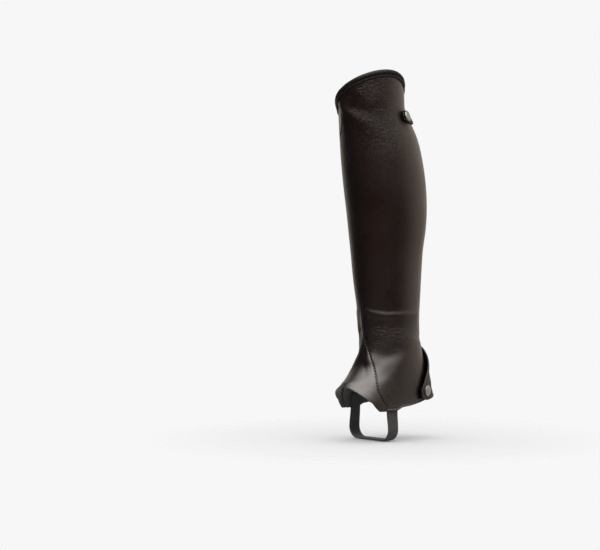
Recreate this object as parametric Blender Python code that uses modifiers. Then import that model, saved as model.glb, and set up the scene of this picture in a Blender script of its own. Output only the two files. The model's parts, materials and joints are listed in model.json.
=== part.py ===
"""Half chap for the left leg: a leather gaiter that is worn over a short riding boot.

A single wrap panel goes round the leg from one side of the back zip to the other. A V-shaped
gusset covers the instep, a binding rolls over the sloping top edge, and an elastic strap passes
under the arch of the boot. A small tab above and a broad flap at the heel close over the zip,
each on a snap. The form is hollow and open at both ends, as a leg fills it.

The tables and the sizes below are in millimetres, and the meshes are made in metres.
+Z is up, -Y is the front of the leg and +X its outer side. The origin is the middle of the leg
at the fullest part of the calf. A turn is the angle round the leg: 0 is the front, 90 the outer
side, 180 the back and 270 the inner side.
"""
import math
from collections import namedtuple

import bmesh
import bpy
from mathutils import Matrix, Vector

MM = 0.001

# Thicknesses
LEATHER = 1.8                # wrap panel
GUSSET_LEATHER = 1.5
BINDING_LEATHER = 2.0        # a strip folded double
TAB_LEATHER = 1.6
FLAP_LEATHER = 2.2           # two layers, edges turned in
ELASTIC = 1.6
TAPE = 1.0                   # woven tape of the zip

# Gaps between pieces that are sewn or that lie on each other, wider where flat facets of
# different lengths lie on each other
GAP = 0.3
WIDE_GAP = 0.6

# Points of the wrap panel
TURN_STEP = 9.0
EDGE_STEP = 19               # the step round the leg that falls on the zip
ROWS = 26
ROW_EASE = 0.55              # draws the rows together near the top and the foot

# Sloping top edge
TOP_PEAK = 156.3
TOP_DROP = 32.0              # half of the fall from the highest to the lowest point
TOP_PEAK_TURN = 76.0
TOP_WAVE = 2.1               # lifts the edge at the front and the back, and lowers it between
TOP_WAVE_TURN = 48.0
BINDING_DEPTH = 6.2
BINDING_LEG = 0.38           # part of the binding's width that lies on either face

# Instep gusset and hem
APEX = -211.0
SEAM_FALL = 1.333            # millimetres a degree, down either side of the gusset
SEAM_TIP = 6.5               # degrees, rounds its point
SEAM_TURN = 71.0             # its upright ends
LAP = 9.0                    # wrap panel under the gusset
INSTEP_HEM = -275.0
ARCH_HEM = -305.0
HEEL_RISE = 16.0
STRAP_HEM = -305.5           # the level stretch of hem that the strap is sewn to
STRAP_HEM_START = 66.5
STRAP_HEM_END = 81.5
STRAP_HEM_FRONT = 1.15       # rise in front of it, millimetres a degree
STRAP_HEM_BACK = 1.7         # rise behind it

# Back zip
SLIT = 6.5                   # from the middle of the zip to the edge of the leather
CHAIN_HALF = 3.25
CHAIN_THICK = 3.0
CHAIN_DEPTH = -1.6           # the chain's inner face, from the leather's inner face
TAPE_EDGE = 16.0

# Slider and pull, measured across the zip, along it and out from the leather's inner face
SLIDER_SIZE = Vector((10.5, 14.0, 3.6))
SLIDER_BASE = 1.0
SLIDER_MIDDLE = 106.0
BRIDGE_WIDTH = 3.0
BRIDGE_LENGTH = 11.0
BRIDGE_ROOF = 1.6
BRIDGE_FOOT = 1.6
PIVOT_OUT = 6.4
BAR_RADIUS = 0.75
BAR_PLAY = 0.4
PULL_THICK = 2 * BAR_RADIUS
PULL_LENGTH = 21.0
PULL_HEAD = 4.3              # half widths of the pull and of its window
PULL_TAIL = 3.0
WINDOW_HEAD = 2.8
WINDOW_TAIL = 2.4
WINDOW_LENGTH = 8.0
PULL_LEAN = 31.5             # from straight down, where the pull lies on the top tab

# Snaps
CAP_RADIUS = 7.5             # line 24
CAP_HEIGHT = 1.8
STUD_RADIUS = 4.8
STUD_PLAY = 0.5              # under the curved tab

# Elastic strap
STRAP_WIDTH = 18.0
STRAP_MIDDLE = -18.3
STRAP_TOP = -286.0
STRAP_BOTTOM = -345.0
STRAP_HALF_SPAN = 40.0
STRAP_CORNER = 14.0

# The leg in its boot, from above the top edge down to the instep. A ring's centre leans forward
# or back by lean. Its square is 2 for an ellipse and more for a fuller back.
Ring = namedtuple("Ring", "height lean half_width front back square")
RINGS = [
    Ring(165, -28.3, 43.4, 46.3, 44.9, 2),
    Ring(118, -24.8, 43.4, 47.3, 45.4, 2),
    Ring(104, -22.3, 43.9, 47, 43.4, 2),
    Ring(86, -16.6, 46, 50.2, 47.8, 2),
    Ring(63, -9.6, 49.2, 53.5, 52.7, 2),
    Ring(36, -4.5, 51.8, 55.3, 55.3, 2),
    Ring(0, 1, 52.3, 56.4, 56.4, 2),
    Ring(-33, 4.5, 50.8, 55.4, 55.4, 2),
    Ring(-60, 5.4, 48.3, 53.5, 53.5, 2),
    Ring(-88, 5, 44.8, 50.4, 50.2, 2),
    Ring(-115, 5.4, 42.3, 48.4, 48.4, 2),
    Ring(-142, 6.3, 40.3, 46.1, 46.3, 2),
    Ring(-175, 7.7, 37.8, 43.5, 43.5, 2),
    Ring(-197, 9, 36.8, 42.3, 42.5, 2),
    Ring(-213, 10, 37.2, 42.3, 43.9, 2),
    Ring(-225, 10, 37.7, 43.8, 45.9, 2.1),
    Ring(-245, 9, 39.4, 49.4, 51.2, 2.3),
    Ring(-259, 8, 40.4, 58.2, 55.2, 2.4),
    Ring(-272, 8, 40.9, 73.8, 58.1, 2.5),
    Ring(-290, 8, 40.9, 100, 60.2, 2.5),
    Ring(-310, 8, 40.9, 129.5, 61.5, 2.5),
]

# The largest folds. Across and along are a fold's half sizes, lean is how far its long way tips
# from upright, towards larger turns, and depth is below zero for a trough.
Fold = namedtuple("Fold", "turn height across along lean depth")
FOLDS = [
    Fold(-29, 99, 13, 20, -4, -2.4),     # dent at the front, under the binding
    Fold(-4, 95, 7, 22, 0, 1.4),         # ridge beside it
    Fold(38, -230, 9, 19, 72, -1.2),     # trough above the ankle bone, in two halves
    Fold(66, -228, 9, 20, 112, -1.2),
    Fold(-56, -227, 10, 34, 86, -1.7),   # the same on the inner side
    Fold(205, -70, 16, 44, 18, -1.6),    # slack of the inner calf
    Fold(250, 30, 15, 38, -22, -1.4),
]

# A tab or flap, from its sewn end to its round end.
Station = namedtuple("Station", "turn low high lift")
TOP_TAB = [
    Station(208, 74.5, 91.0, 0.0),
    Station(200, 76.0, 92.8, 0.3),
    Station(190, 77.5, 94.5, 0.6),
    Station(180, 78.8, 95.8, 0.8),
    Station(168, 80.4, 97.4, 0.9),
    Station(155, 81.9, 98.9, 0.9),
    Station(141, 83.3, 100.3, 0.9),
    Station(128, 84.3, 101.5, 0.9),
    Station(117, 84.9, 102.1, 0.9),
    Station(110, 85.7, 101.5, 0.9),
    Station(105, 87.7, 99.6, 0.9),
    Station(102, 90.4, 96.9, 0.9),
]
TOP_SNAP = (117.0, 93.6)
HEEL_FLAP = [
    Station(214, -288.0, -203.0, 0.0),
    Station(206, -288.5, -206.0, 0.2),
    Station(198, -289.0, -209.5, 0.5),
    Station(189, -289.5, -213.5, 0.9),
    Station(180, -290.0, -217.5, 1.3),
    Station(170, -290.3, -222.5, 1.6),
    Station(160, -290.6, -228.5, 1.8),
    Station(150, -290.9, -235.0, 1.9),
    Station(140, -291.2, -241.5, 1.9),
    Station(132, -291.8, -248.0, 1.9),
    Station(125, -292.5, -254.0, 1.8),
    Station(118.5, -293.2, -260.0, 1.7),
    Station(113, -293.0, -266.0, 1.6),
    Station(108.5, -292.0, -272.0, 1.6),
    Station(105.5, -289.6, -277.0, 1.6),
    Station(104, -286.2, -281.5, 1.6),
]
HEEL_SNAP = (117.0, -280.6)

# Snap cap, from its crown to its flat underside.
Turned = namedtuple("Turned", "radius height")
CAP_PROFILE = [
    Turned(0.0, 1.0),
    Turned(0.45, 0.97),
    Turned(0.78, 0.82),
    Turned(0.95, 0.55),
    Turned(1.0, 0.28),
    Turned(0.97, 0.0),
    Turned(0.0, 0.0),
]
STUD_PROFILE = [
    Turned(0.0, 1.0),
    Turned(0.9, 1.0),
    Turned(1.0, 0.7),
    Turned(1.0, 0.0),
    Turned(0.0, 0.0),
]


def new_collection(name):
    made = bpy.data.collections.new(name)
    bpy.context.scene.collection.children.link(made)
    return made


def new_material(name, colour, roughness, metallic=0.0):
    made = bpy.data.materials.new(name)
    made.use_nodes = True
    shader = made.node_tree.nodes["Principled BSDF"]
    shader.inputs["Base Color"].default_value = (*colour, 1.0)
    shader.inputs["Roughness"].default_value = roughness
    shader.inputs["Metallic"].default_value = metallic
    return made


for old in list(bpy.data.objects):
    bpy.data.objects.remove(old, do_unlink=True)
CHAP = new_collection("half_chap")
CUTTERS = new_collection("cutters")

BLACK_LEATHER = new_material("black_leather", (0.018, 0.016, 0.015), 0.42)
BLACK_ELASTIC = new_material("black_elastic", (0.012, 0.012, 0.013), 0.85)
ZIP_TAPE = new_material("zip_tape", (0.014, 0.014, 0.015), 0.9)
ZIP_COIL = new_material("zip_coil", (0.02, 0.02, 0.022), 0.5)
DARK_METAL = new_material("dark_metal", (0.16, 0.155, 0.15), 0.35, 1.0)
PEWTER = new_material("pewter", (0.52, 0.50, 0.47), 0.32, 1.0)


# ---- the leg's form ----

def ring_value(height, column):
    """A ring's size at any height, on a smooth curve through the table."""
    lower = 1
    while lower < len(RINGS) - 1 and height < RINGS[lower].height:
        lower += 1
    above, below = RINGS[lower - 1], RINGS[lower]
    before = RINGS[max(lower - 2, 0)]
    after = RINGS[min(lower + 1, len(RINGS) - 1)]
    start, end = getattr(above, column), getattr(below, column)
    span = below.height - above.height
    start_slope = (end - getattr(before, column)) / (below.height - before.height)
    end_slope = (getattr(after, column) - start) / (after.height - above.height)
    part = (height - above.height) / span
    rest = 1 - part
    return ((1 + 2 * part) * rest ** 2 * start + part * rest ** 2 * span * start_slope
            + part ** 2 * (1 + 2 * rest) * end - part ** 2 * rest * span * end_slope)


def bare_leg(turn, height):
    """A point of the form without its folds."""
    angle = math.radians(turn)
    side, ahead = math.sin(angle), math.cos(angle)
    reach = ring_value(height, "front" if ahead > 0 else "back")
    power = 1.0 if ahead > 0 else 2 / ring_value(height, "square")
    along = math.copysign(reach * abs(ahead) ** power, ahead)
    across = ring_value(height, "half_width") * side
    return Vector((across, ring_value(height, "lean") - along, height))


def fold_height(turn, height):
    """How far the folds raise or sink the leather at a place."""
    total = 0.0
    for fold in FOLDS:
        round_way = (turn - fold.turn + 180) % 360 - 180
        aside = math.radians(round_way) * ring_value(fold.height, "half_width")
        up = height - fold.height
        tip = math.radians(fold.lean)
        across = (aside * math.cos(tip) + up * math.sin(tip)) / fold.across
        along = (up * math.cos(tip) - aside * math.sin(tip)) / fold.along
        total += fold.depth * math.exp(-across ** 2 - along ** 2)
    return total


def leg_normal(turn, height):
    step = 0.5
    around = bare_leg(turn + step, height) - bare_leg(turn - step, height)
    up = bare_leg(turn, height + step) - bare_leg(turn, height - step)
    return around.cross(up).normalized()


def leg_point(turn, height, out=0.0):
    """A point at a distance out from the inner face of the wrap panel."""
    lift = out + fold_height(turn, height)
    return bare_leg(turn, height) + leg_normal(turn, height) * lift


def back_turn(height, aside):
    """The turn at a distance aside from the middle of the zip, towards the outer side."""
    return 180 - math.degrees(math.asin(aside / ring_value(height, "half_width")))


def from_front(turn):
    """The turn as an angle of 0 to 180 from the front, the same on both sides."""
    return abs((turn + 180) % 360 - 180)


def top_edge(turn):
    wave = TOP_WAVE * math.cos(2 * math.radians(turn - TOP_WAVE_TURN))
    return TOP_PEAK - TOP_DROP * (1 - math.cos(math.radians(turn - TOP_PEAK_TURN))) - wave


def seam_line(turn):
    """The gusset's folded edge, an inverted V."""
    return APEX - SEAM_FALL * (math.hypot(from_front(turn), SEAM_TIP) - SEAM_TIP)


def hem_line(turn):
    """The lower edge, from the instep down to the arch, level there, and up to the heel."""
    away = from_front(turn)
    level = STRAP_HEM + max(0, STRAP_HEM_FRONT * (STRAP_HEM_START - away),
                            STRAP_HEM_BACK * (away - STRAP_HEM_END))
    if away < SEAM_TURN:
        return min(level, INSTEP_HEM + (ARCH_HEM - INSTEP_HEM) * (away / SEAM_TURN) ** 2)
    rest = 1 - (away - SEAM_TURN) / (180 - SEAM_TURN)
    return min(level, ARCH_HEM + HEEL_RISE * (1 - rest ** 2))


def panel_foot(turn):
    """The wrap panel's lower edge, cut to a V behind the gusset."""
    if from_front(turn) >= SEAM_TURN:
        return hem_line(turn)
    return max(seam_line(turn) - LAP, hem_line(turn))


# ---- making walls ----

def add_object(name, mesh, material):
    mesh.materials.append(material)
    made = bpy.data.objects.new(name, mesh)
    CHAP.objects.link(made)
    return made


def fractions(count):
    return [step / count for step in range(count + 1)]


def add_wall(name, columns, rows, place, thickness, material):
    """A grid of points with Solidify on it. Place gives a point in millimetres from its column
    and row, and the wall grows out from that face."""
    work = bmesh.new()
    grid = [[work.verts.new(place(column, row) * MM) for row in rows] for column in columns]
    for left, right in zip(grid, grid[1:]):
        for row in range(len(rows) - 1):
            work.faces.new((left[row], right[row], right[row + 1], left[row + 1]))
    mesh = bpy.data.meshes.new(name)
    work.to_mesh(mesh)
    work.free()
    made = add_object(name, mesh, material)
    wall = made.modifiers.new("wall", "SOLIDIFY")
    wall.thickness = thickness * MM
    wall.offset = 1.0
    wall.use_even_offset = True
    mesh.shade_smooth()
    mesh.set_sharp_from_angle(angle=math.radians(40))
    return made


def blend(start, end, part):
    return start + (end - start) * part


def wrap_turn(step, height):
    """A column of the wrap panel: every few degrees, and at the last step its zip edge."""
    if abs(step) == EDGE_STEP:
        return math.copysign(back_turn(height, SLIT), step)
    return step * TURN_STEP


def row_height(turn, up):
    """The height of a row of the wrap panel."""
    ease = blend(up, up ** 2 * (3 - 2 * up), ROW_EASE)
    return blend(panel_foot(turn), top_edge(turn), ease)


def wrap_point(step, up):
    """The wrap panel, from its inner zip edge round the front to its outer zip edge."""
    turn = wrap_turn(step, row_height(180, up))
    return leg_point(turn, row_height(turn, up))


def gusset_point(step, up):
    turn = math.copysign(min(abs(step) * TURN_STEP, SEAM_TURN), step)
    height = blend(hem_line(turn) - GAP, seam_line(turn), up)
    return leg_point(turn, height, LEATHER + WIDE_GAP)


def binding_point(step, over):
    """The inside of the binding: up the leather's outer face, over its edge and down inside."""
    turn = wrap_turn(step, top_edge(180))
    edge = top_edge(turn)
    middle = LEATHER / 2
    half = middle + WIDE_GAP
    if over < BINDING_LEG:
        return leg_point(turn, edge - BINDING_DEPTH * (1 - over / BINDING_LEG), middle + half)
    if over > 1 - BINDING_LEG:
        drop = BINDING_DEPTH * (1 - (1 - over) / BINDING_LEG)
        return leg_point(turn, edge - drop, middle - half)
    angle = math.pi * (over - BINDING_LEG) / (1 - 2 * BINDING_LEG)
    return leg_point(turn, edge + half * math.sin(angle), middle + half * math.cos(angle))


def station_at(stations, part):
    """A tab's sizes at a fraction of its table, from the sewn end to the round end."""
    place = part * (len(stations) - 1)
    first = min(int(place), len(stations) - 2)
    pairs = zip(stations[first], stations[first + 1])
    return Station(*(blend(start, end, place - first) for start, end in pairs))


def lap_point(stations, along, up):
    """A tab or flap on the leather, raised by its lift."""
    station = station_at(stations, 1 - along)
    height = blend(station.low, station.high, up)
    return leg_point(station.turn, height, LEATHER + GAP + station.lift)


def tape_point(aside, up):
    """The zip's tape inside the leather, on the wrap panel's rows."""
    turn = back_turn(row_height(180, up), aside)
    return leg_point(turn, row_height(turn, up), -WIDE_GAP - TAPE)


def chain_point(aside, up):
    height = min(row_height(180, up), SLIDER_MIDDLE - SLIDER_SIZE.y / 2 - GAP)
    point = leg_point(180, height, CHAIN_DEPTH)
    point.x = aside
    return point


def strap_path(part, wall):
    """The strap's outer face, from the outer hem under the arch to the inner hem, by its distance
    from the middle plane and its height. Wall is that distance where it leaves the leather."""
    sewn = STRAP_TOP - ARCH_HEM
    straight = ARCH_HEM - STRAP_BOTTOM - STRAP_CORNER
    arc = math.pi / 2 * STRAP_CORNER
    flat = STRAP_HALF_SPAN - STRAP_CORNER
    half = sewn + straight + arc + flat
    run = half * (1 - abs(1 - 2 * part))
    if run < sewn:
        aside, height = wall, STRAP_TOP - run
    elif run < sewn + straight:
        aside = blend(wall, STRAP_HALF_SPAN, (run - sewn) / straight)
        height = STRAP_TOP - run
    elif run < half - flat:
        angle = (run - sewn - straight) / STRAP_CORNER
        aside = flat + STRAP_CORNER * math.cos(angle)
        height = STRAP_BOTTOM + STRAP_CORNER * (1 - math.sin(angle))
    else:
        aside, height = half - run, STRAP_BOTTOM
    return math.copysign(aside, 0.5 - part), height


def strap_point(along, across):
    forward = STRAP_MIDDLE + STRAP_WIDTH * (across - 0.5)
    height = min(max(strap_path(along, 0)[1], ARCH_HEM), STRAP_TOP)
    ahead = (ring_value(height, "lean") - forward) / ring_value(height, "front")
    wall = ring_value(height, "half_width") * math.sqrt(1 - ahead ** 2) - GAP - ELASTIC
    aside, height = strap_path(along, wall)
    return Vector((aside, forward, height))


# ---- hard pieces ----

def add_turned(name, profile, radius, depth, place, out, material):
    """A turned piece whose axis stands on the leather at a turn and height."""
    work = bmesh.new()
    points = [work.verts.new((step.radius * radius * MM, 0, step.height * depth * MM))
              for step in profile]
    for start, end in zip(points, points[1:]):
        work.edges.new((start, end))
    mesh = bpy.data.meshes.new(name)
    work.to_mesh(mesh)
    work.free()
    made = add_object(name, mesh, material)
    made.location = leg_point(*place, out) * MM
    made.rotation_mode = "QUATERNION"
    made.rotation_quaternion = Vector((0, 0, 1)).rotation_difference(leg_normal(*place))
    screw = made.modifiers.new("turn", "SCREW")
    screw.axis = "Z"
    screw.steps = screw.render_steps = 24
    screw.use_merge_vertices = True
    screw.merge_threshold = 0.00005
    return made


def add_block(name, size, middle, frame, collection):
    """A box in a frame, by its size and its middle in millimetres."""
    bpy.ops.mesh.primitive_cube_add(size=1)
    made = bpy.context.object
    made.name = made.data.name = name
    made.data.transform(Matrix.Diagonal((*(size * MM), 1)))
    made.data.transform(Matrix.Translation(middle * MM))
    made.data.transform(frame)
    for user in list(made.users_collection):
        user.objects.unlink(made)
    collection.objects.link(made)
    return made


def combine(made, tool, operation):
    tool.hide_render = True
    tool.display_type = "WIRE"
    modifier = made.modifiers.new(operation.lower(), "BOOLEAN")
    modifier.operation = operation
    modifier.solver = "EXACT"
    modifier.object = tool


def zip_frame(height):
    """Axes on the zip: X across it, Y up along it and Z out from the leather."""
    out = leg_normal(180, height)
    across = Vector((-1, 0, 0))
    place = leg_point(180, height) * MM
    turned = Matrix((across, out.cross(across), out)).transposed()
    return Matrix.Translation(place) @ turned.to_4x4()


def add_slider():
    """The slider's body, with a bridge over it that the pull hangs under."""
    frame = zip_frame(SLIDER_MIDDLE)
    plate = SLIDER_BASE + SLIDER_SIZE.z
    body = add_block("zip_slider", SLIDER_SIZE, Vector((0, 0, plate - SLIDER_SIZE.z / 2)),
                     frame, CHAP)
    body.data.materials.append(DARK_METAL)
    roof = PIVOT_OUT + BAR_RADIUS + BAR_PLAY
    bridge_height = roof + BRIDGE_ROOF - SLIDER_BASE
    bridge = add_block("bridge", Vector((BRIDGE_WIDTH, BRIDGE_LENGTH, bridge_height)),
                       Vector((0, 0, SLIDER_BASE + bridge_height / 2)), frame, CUTTERS)
    tunnel_length = BRIDGE_LENGTH - 2 * BRIDGE_FOOT
    tunnel = add_block("tunnel", Vector((2 * BRIDGE_WIDTH, tunnel_length, roof - plate)),
                       Vector((0, 0, (roof + plate) / 2)), frame, CUTTERS)
    combine(body, bridge, "UNION")
    combine(body, tunnel, "DIFFERENCE")


def add_outline(curve, half_head, half_tail, top, bottom, corner):
    """A tapered outline with cut corners."""
    right = [
        (half_head - corner, top),
        (half_head, top - corner),
        (half_tail, bottom + corner),
        (half_tail - corner, bottom),
    ]
    points = right + [(-x, y) for x, y in reversed(right)]
    spline = curve.splines.new("POLY")
    spline.points.add(len(points) - 1)
    for slot, (x, y) in zip(spline.points, points):
        slot.co = (x * MM, y * MM, 0, 1)
    spline.use_cyclic_u = True


def add_pull():
    """A flat pull with a window at its head. Its origin is on the bar that it swings on."""
    curve = bpy.data.curves.new("zip_pull", "CURVE")
    curve.dimensions = "2D"
    curve.fill_mode = "BOTH"
    curve.extrude = PULL_THICK / 2 * MM
    curve.materials.append(DARK_METAL)
    add_outline(curve, PULL_HEAD, PULL_TAIL, BAR_RADIUS, -PULL_LENGTH, 1.2)
    add_outline(curve, WINDOW_HEAD, WINDOW_TAIL, -BAR_RADIUS, -WINDOW_LENGTH, 0.5)
    made = bpy.data.objects.new("zip_pull", curve)
    CHAP.objects.link(made)
    rest = BAR_RADIUS + BAR_PLAY - BRIDGE_LENGTH / 2 + BRIDGE_FOOT
    pivot = zip_frame(SLIDER_MIDDLE) @ (Vector((0, rest, PIVOT_OUT)) * MM)
    lean = math.radians(PULL_LEAN)
    up = Vector((0, -math.sin(lean), math.cos(lean)))
    across = Vector((-1, 0, 0))
    turned = Matrix((across, up, across.cross(up))).transposed()
    made.matrix_world = Matrix.Translation(pivot) @ turned.to_4x4()


# ---- the pieces ----

WRAP_STEPS = list(range(-EDGE_STEP, EDGE_STEP + 1))
add_wall("body_panel", WRAP_STEPS, fractions(ROWS), wrap_point, LEATHER, BLACK_LEATHER)
add_wall("instep_gusset", list(range(-8, 9)), fractions(8), gusset_point, GUSSET_LEATHER,
         BLACK_LEATHER)
add_wall("top_binding", WRAP_STEPS, fractions(8), binding_point, BINDING_LEATHER, BLACK_LEATHER)
add_wall("top_tab", fractions(16), fractions(3),
         lambda along, up: lap_point(TOP_TAB, along, up), TAB_LEATHER, BLACK_LEATHER)
add_wall("heel_flap", fractions(22), fractions(6),
         lambda along, up: lap_point(HEEL_FLAP, along, up), FLAP_LEATHER, BLACK_LEATHER)
TAPE_NEAR = CHAIN_HALF + GAP
ZIP_ROWS = fractions(ROWS)[:-2]          # up to just below the binding
add_wall("zip_tape_outer", (TAPE_EDGE, TAPE_NEAR), ZIP_ROWS, tape_point, TAPE, ZIP_TAPE)
add_wall("zip_tape_inner", (-TAPE_NEAR, -TAPE_EDGE), ZIP_ROWS, tape_point, TAPE, ZIP_TAPE)
add_wall("zip_chain", (CHAIN_HALF, -CHAIN_HALF), ZIP_ROWS, chain_point, CHAIN_THICK,
         ZIP_COIL)
add_wall("arch_elastic", fractions(40), fractions(1), strap_point, ELASTIC, BLACK_ELASTIC)

for name, place, leather, lift in (("top", TOP_SNAP, TAB_LEATHER, TOP_TAB[-1].lift),
                                   ("heel", HEEL_SNAP, FLAP_LEATHER, HEEL_FLAP[-1].lift)):
    foot = LEATHER + GAP
    add_turned(name + "_stud", STUD_PROFILE, STUD_RADIUS, lift - STUD_PLAY, place, foot, PEWTER)
    add_turned(name + "_snap", CAP_PROFILE, CAP_RADIUS, CAP_HEIGHT, place,
               foot + lift + leather + GAP, PEWTER)
add_slider()
add_pull()
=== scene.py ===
# %% [markdown]
# # A leather half chap
# A half chap is a leather gaiter. A rider wears it over a short boot, so that boot and chap
# together look like a tall boot. One large panel goes round the leg and meets at a zip down the
# back. A V of softer leather lets it bend over the instep, a rolled binding finishes the top, and
# an elastic strap under the boot keeps it down.
#
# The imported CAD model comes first. It is the frame that every piece here is fitted to.

# %% Load the frame
import json
import math

import bmesh
import bpy
import numpy as np
from mathutils import Matrix, Vector


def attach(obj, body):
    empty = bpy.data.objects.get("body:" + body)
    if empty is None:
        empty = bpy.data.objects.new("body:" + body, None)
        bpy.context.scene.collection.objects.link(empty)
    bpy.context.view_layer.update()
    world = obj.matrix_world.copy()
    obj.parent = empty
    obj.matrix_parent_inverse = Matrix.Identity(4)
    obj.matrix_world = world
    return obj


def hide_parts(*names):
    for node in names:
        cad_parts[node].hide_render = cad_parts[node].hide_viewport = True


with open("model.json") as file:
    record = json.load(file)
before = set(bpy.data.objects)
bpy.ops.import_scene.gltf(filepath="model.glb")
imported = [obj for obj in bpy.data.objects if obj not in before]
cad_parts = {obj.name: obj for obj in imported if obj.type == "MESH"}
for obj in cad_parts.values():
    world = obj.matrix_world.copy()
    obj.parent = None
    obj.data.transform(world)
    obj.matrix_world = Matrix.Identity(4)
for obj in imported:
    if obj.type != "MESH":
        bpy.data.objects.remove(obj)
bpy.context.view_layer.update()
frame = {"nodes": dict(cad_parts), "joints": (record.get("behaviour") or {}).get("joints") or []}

# %% [markdown]
# ## The leg inside the chap
# Worn leather takes the shape of the leg and the boot. So the form is a table of rings, as a
# tailor measures a leg: how deep and how wide it is at each height, and how far its middle leans
# forward or back. Between the rings the sizes follow a smooth curve, which is how a leg runs.

# %% Rings of the leg
MM = 0.001                       # a millimetre, in the scene's metres
# a ring's columns, in millimetres but for the last. LEAN is how far back its middle lies, and
# FRONT and BACK are its reach from there. SQUARE is 2 for an ellipse, and more for a squarer back.
HEIGHT, LEAN, HALF_WIDTH, FRONT, BACK, SQUARE = range(6)
RINGS = np.array([
    (165, -28.3, 43.4, 46.3, 44.9, 2),
    (118, -24.8, 43.4, 47.3, 45.4, 2),
    (104, -22.3, 43.9, 47, 43.4, 2),
    (86, -16.6, 46, 50.2, 47.8, 2),
    (63, -9.6, 49.2, 53.5, 52.7, 2),
    (36, -4.5, 51.8, 55.3, 55.3, 2),
    (0, 1, 52.3, 56.4, 56.4, 2),
    (-33, 4.5, 50.8, 55.4, 55.4, 2),
    (-60, 5.4, 48.3, 53.5, 53.5, 2),
    (-88, 5, 44.8, 50.4, 50.2, 2),
    (-115, 5.4, 42.3, 48.4, 48.4, 2),
    (-142, 6.3, 40.3, 46.1, 46.3, 2),
    (-175, 7.7, 37.8, 43.5, 43.5, 2),
    (-197, 9, 36.8, 42.3, 42.5, 2),
    (-213, 10, 37.2, 42.3, 43.9, 2),
    (-225, 10, 37.7, 43.8, 45.9, 2.1),
    (-245, 9, 39.4, 49.4, 51.2, 2.3),
    (-259, 8, 40.4, 58.2, 55.2, 2.4),
    (-272, 8, 40.9, 73.8, 58.1, 2.5),
    (-290, 8, 40.9, 100, 60.2, 2.5),
    (-310, 8, 40.9, 129.5, 61.5, 2.5),
])


def ring_value(height, column):
    """A ring's size at any height, on a smooth curve through the table."""
    heights, sizes = RINGS[:, HEIGHT], RINGS[:, column]
    low = np.clip(np.searchsorted(-heights, -np.asarray(height, float)), 1, len(heights) - 1)
    before, after = np.maximum(low - 2, 0), np.minimum(low + 1, len(heights) - 1)
    start, end, span = sizes[low - 1], sizes[low], heights[low] - heights[low - 1]
    start_slope = (end - sizes[before]) / (heights[low] - heights[before])
    end_slope = (sizes[after] - start) / (heights[after] - heights[low - 1])
    part = (height - heights[low - 1]) / span
    rest = 1 - part
    return ((1 + 2 * part) * rest ** 2 * start + part * rest ** 2 * span * start_slope
            + part ** 2 * (1 + 2 * rest) * end - part ** 2 * rest * span * end_slope)


print("calf", float(ring_value(0.0, HALF_WIDTH)) * 2, "mm wide, ankle",
      float(ring_value(-197.0, HALF_WIDTH)) * 2)

# %% [markdown]
# A place on the leather is given by its turn round the leg in degrees, from 0 at the front through
# 90 at the outer side to 180 at the zip, and by its height in millimetres above the fullest calf.
# Everything that lies on the leather is drawn in these two numbers, and one function puts it in
# space. That way a change to the leg carries every panel, tab and stitch along.

# %% Places on the leg
def bare_leg(turn, height):
    """Points of the form without its folds, in millimetres."""
    side, ahead = np.sin(np.radians(turn)), np.cos(np.radians(turn))
    reach = np.where(ahead > 0, ring_value(height, FRONT), ring_value(height, BACK))
    power = np.where(ahead > 0, 1.0, 2 / ring_value(height, SQUARE))
    along = np.copysign(reach * np.abs(ahead) ** power, ahead)
    across = ring_value(height, HALF_WIDTH) * side
    return np.stack([across, ring_value(height, LEAN) - along, height + 0 * along], axis=-1)


def leg_normal(turn, height, step=0.5):
    """The direction straight out of the form."""
    around = bare_leg(turn + step, height) - bare_leg(turn - step, height)
    up = bare_leg(turn, height + step) - bare_leg(turn, height - step)
    normal = np.cross(around, up)
    return normal / np.linalg.norm(normal, axis=-1, keepdims=True)


print("front of the calf", bare_leg(0.0, 0.0).round(1), "and its outer side",
      bare_leg(90.0, 0.0).round(1))

# %% [markdown]
# ## Folds and creases
# Leather of this weight doesn't crumple like cloth. It shows a few soft hollows and swells where
# the leg bends, one sharp crease above the instep, a step where the top of the boot presses from
# inside, and fine wrinkles over the ankle. They could be simulated, but the result would be a
# matter of luck. Here each one is placed one by one, and no two have the same length or depth. A
# fold is an oval hollow or swell.

# %% Folds
REACH = 45.0                     # mm, a middling radius that turns degrees into a distance
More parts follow.
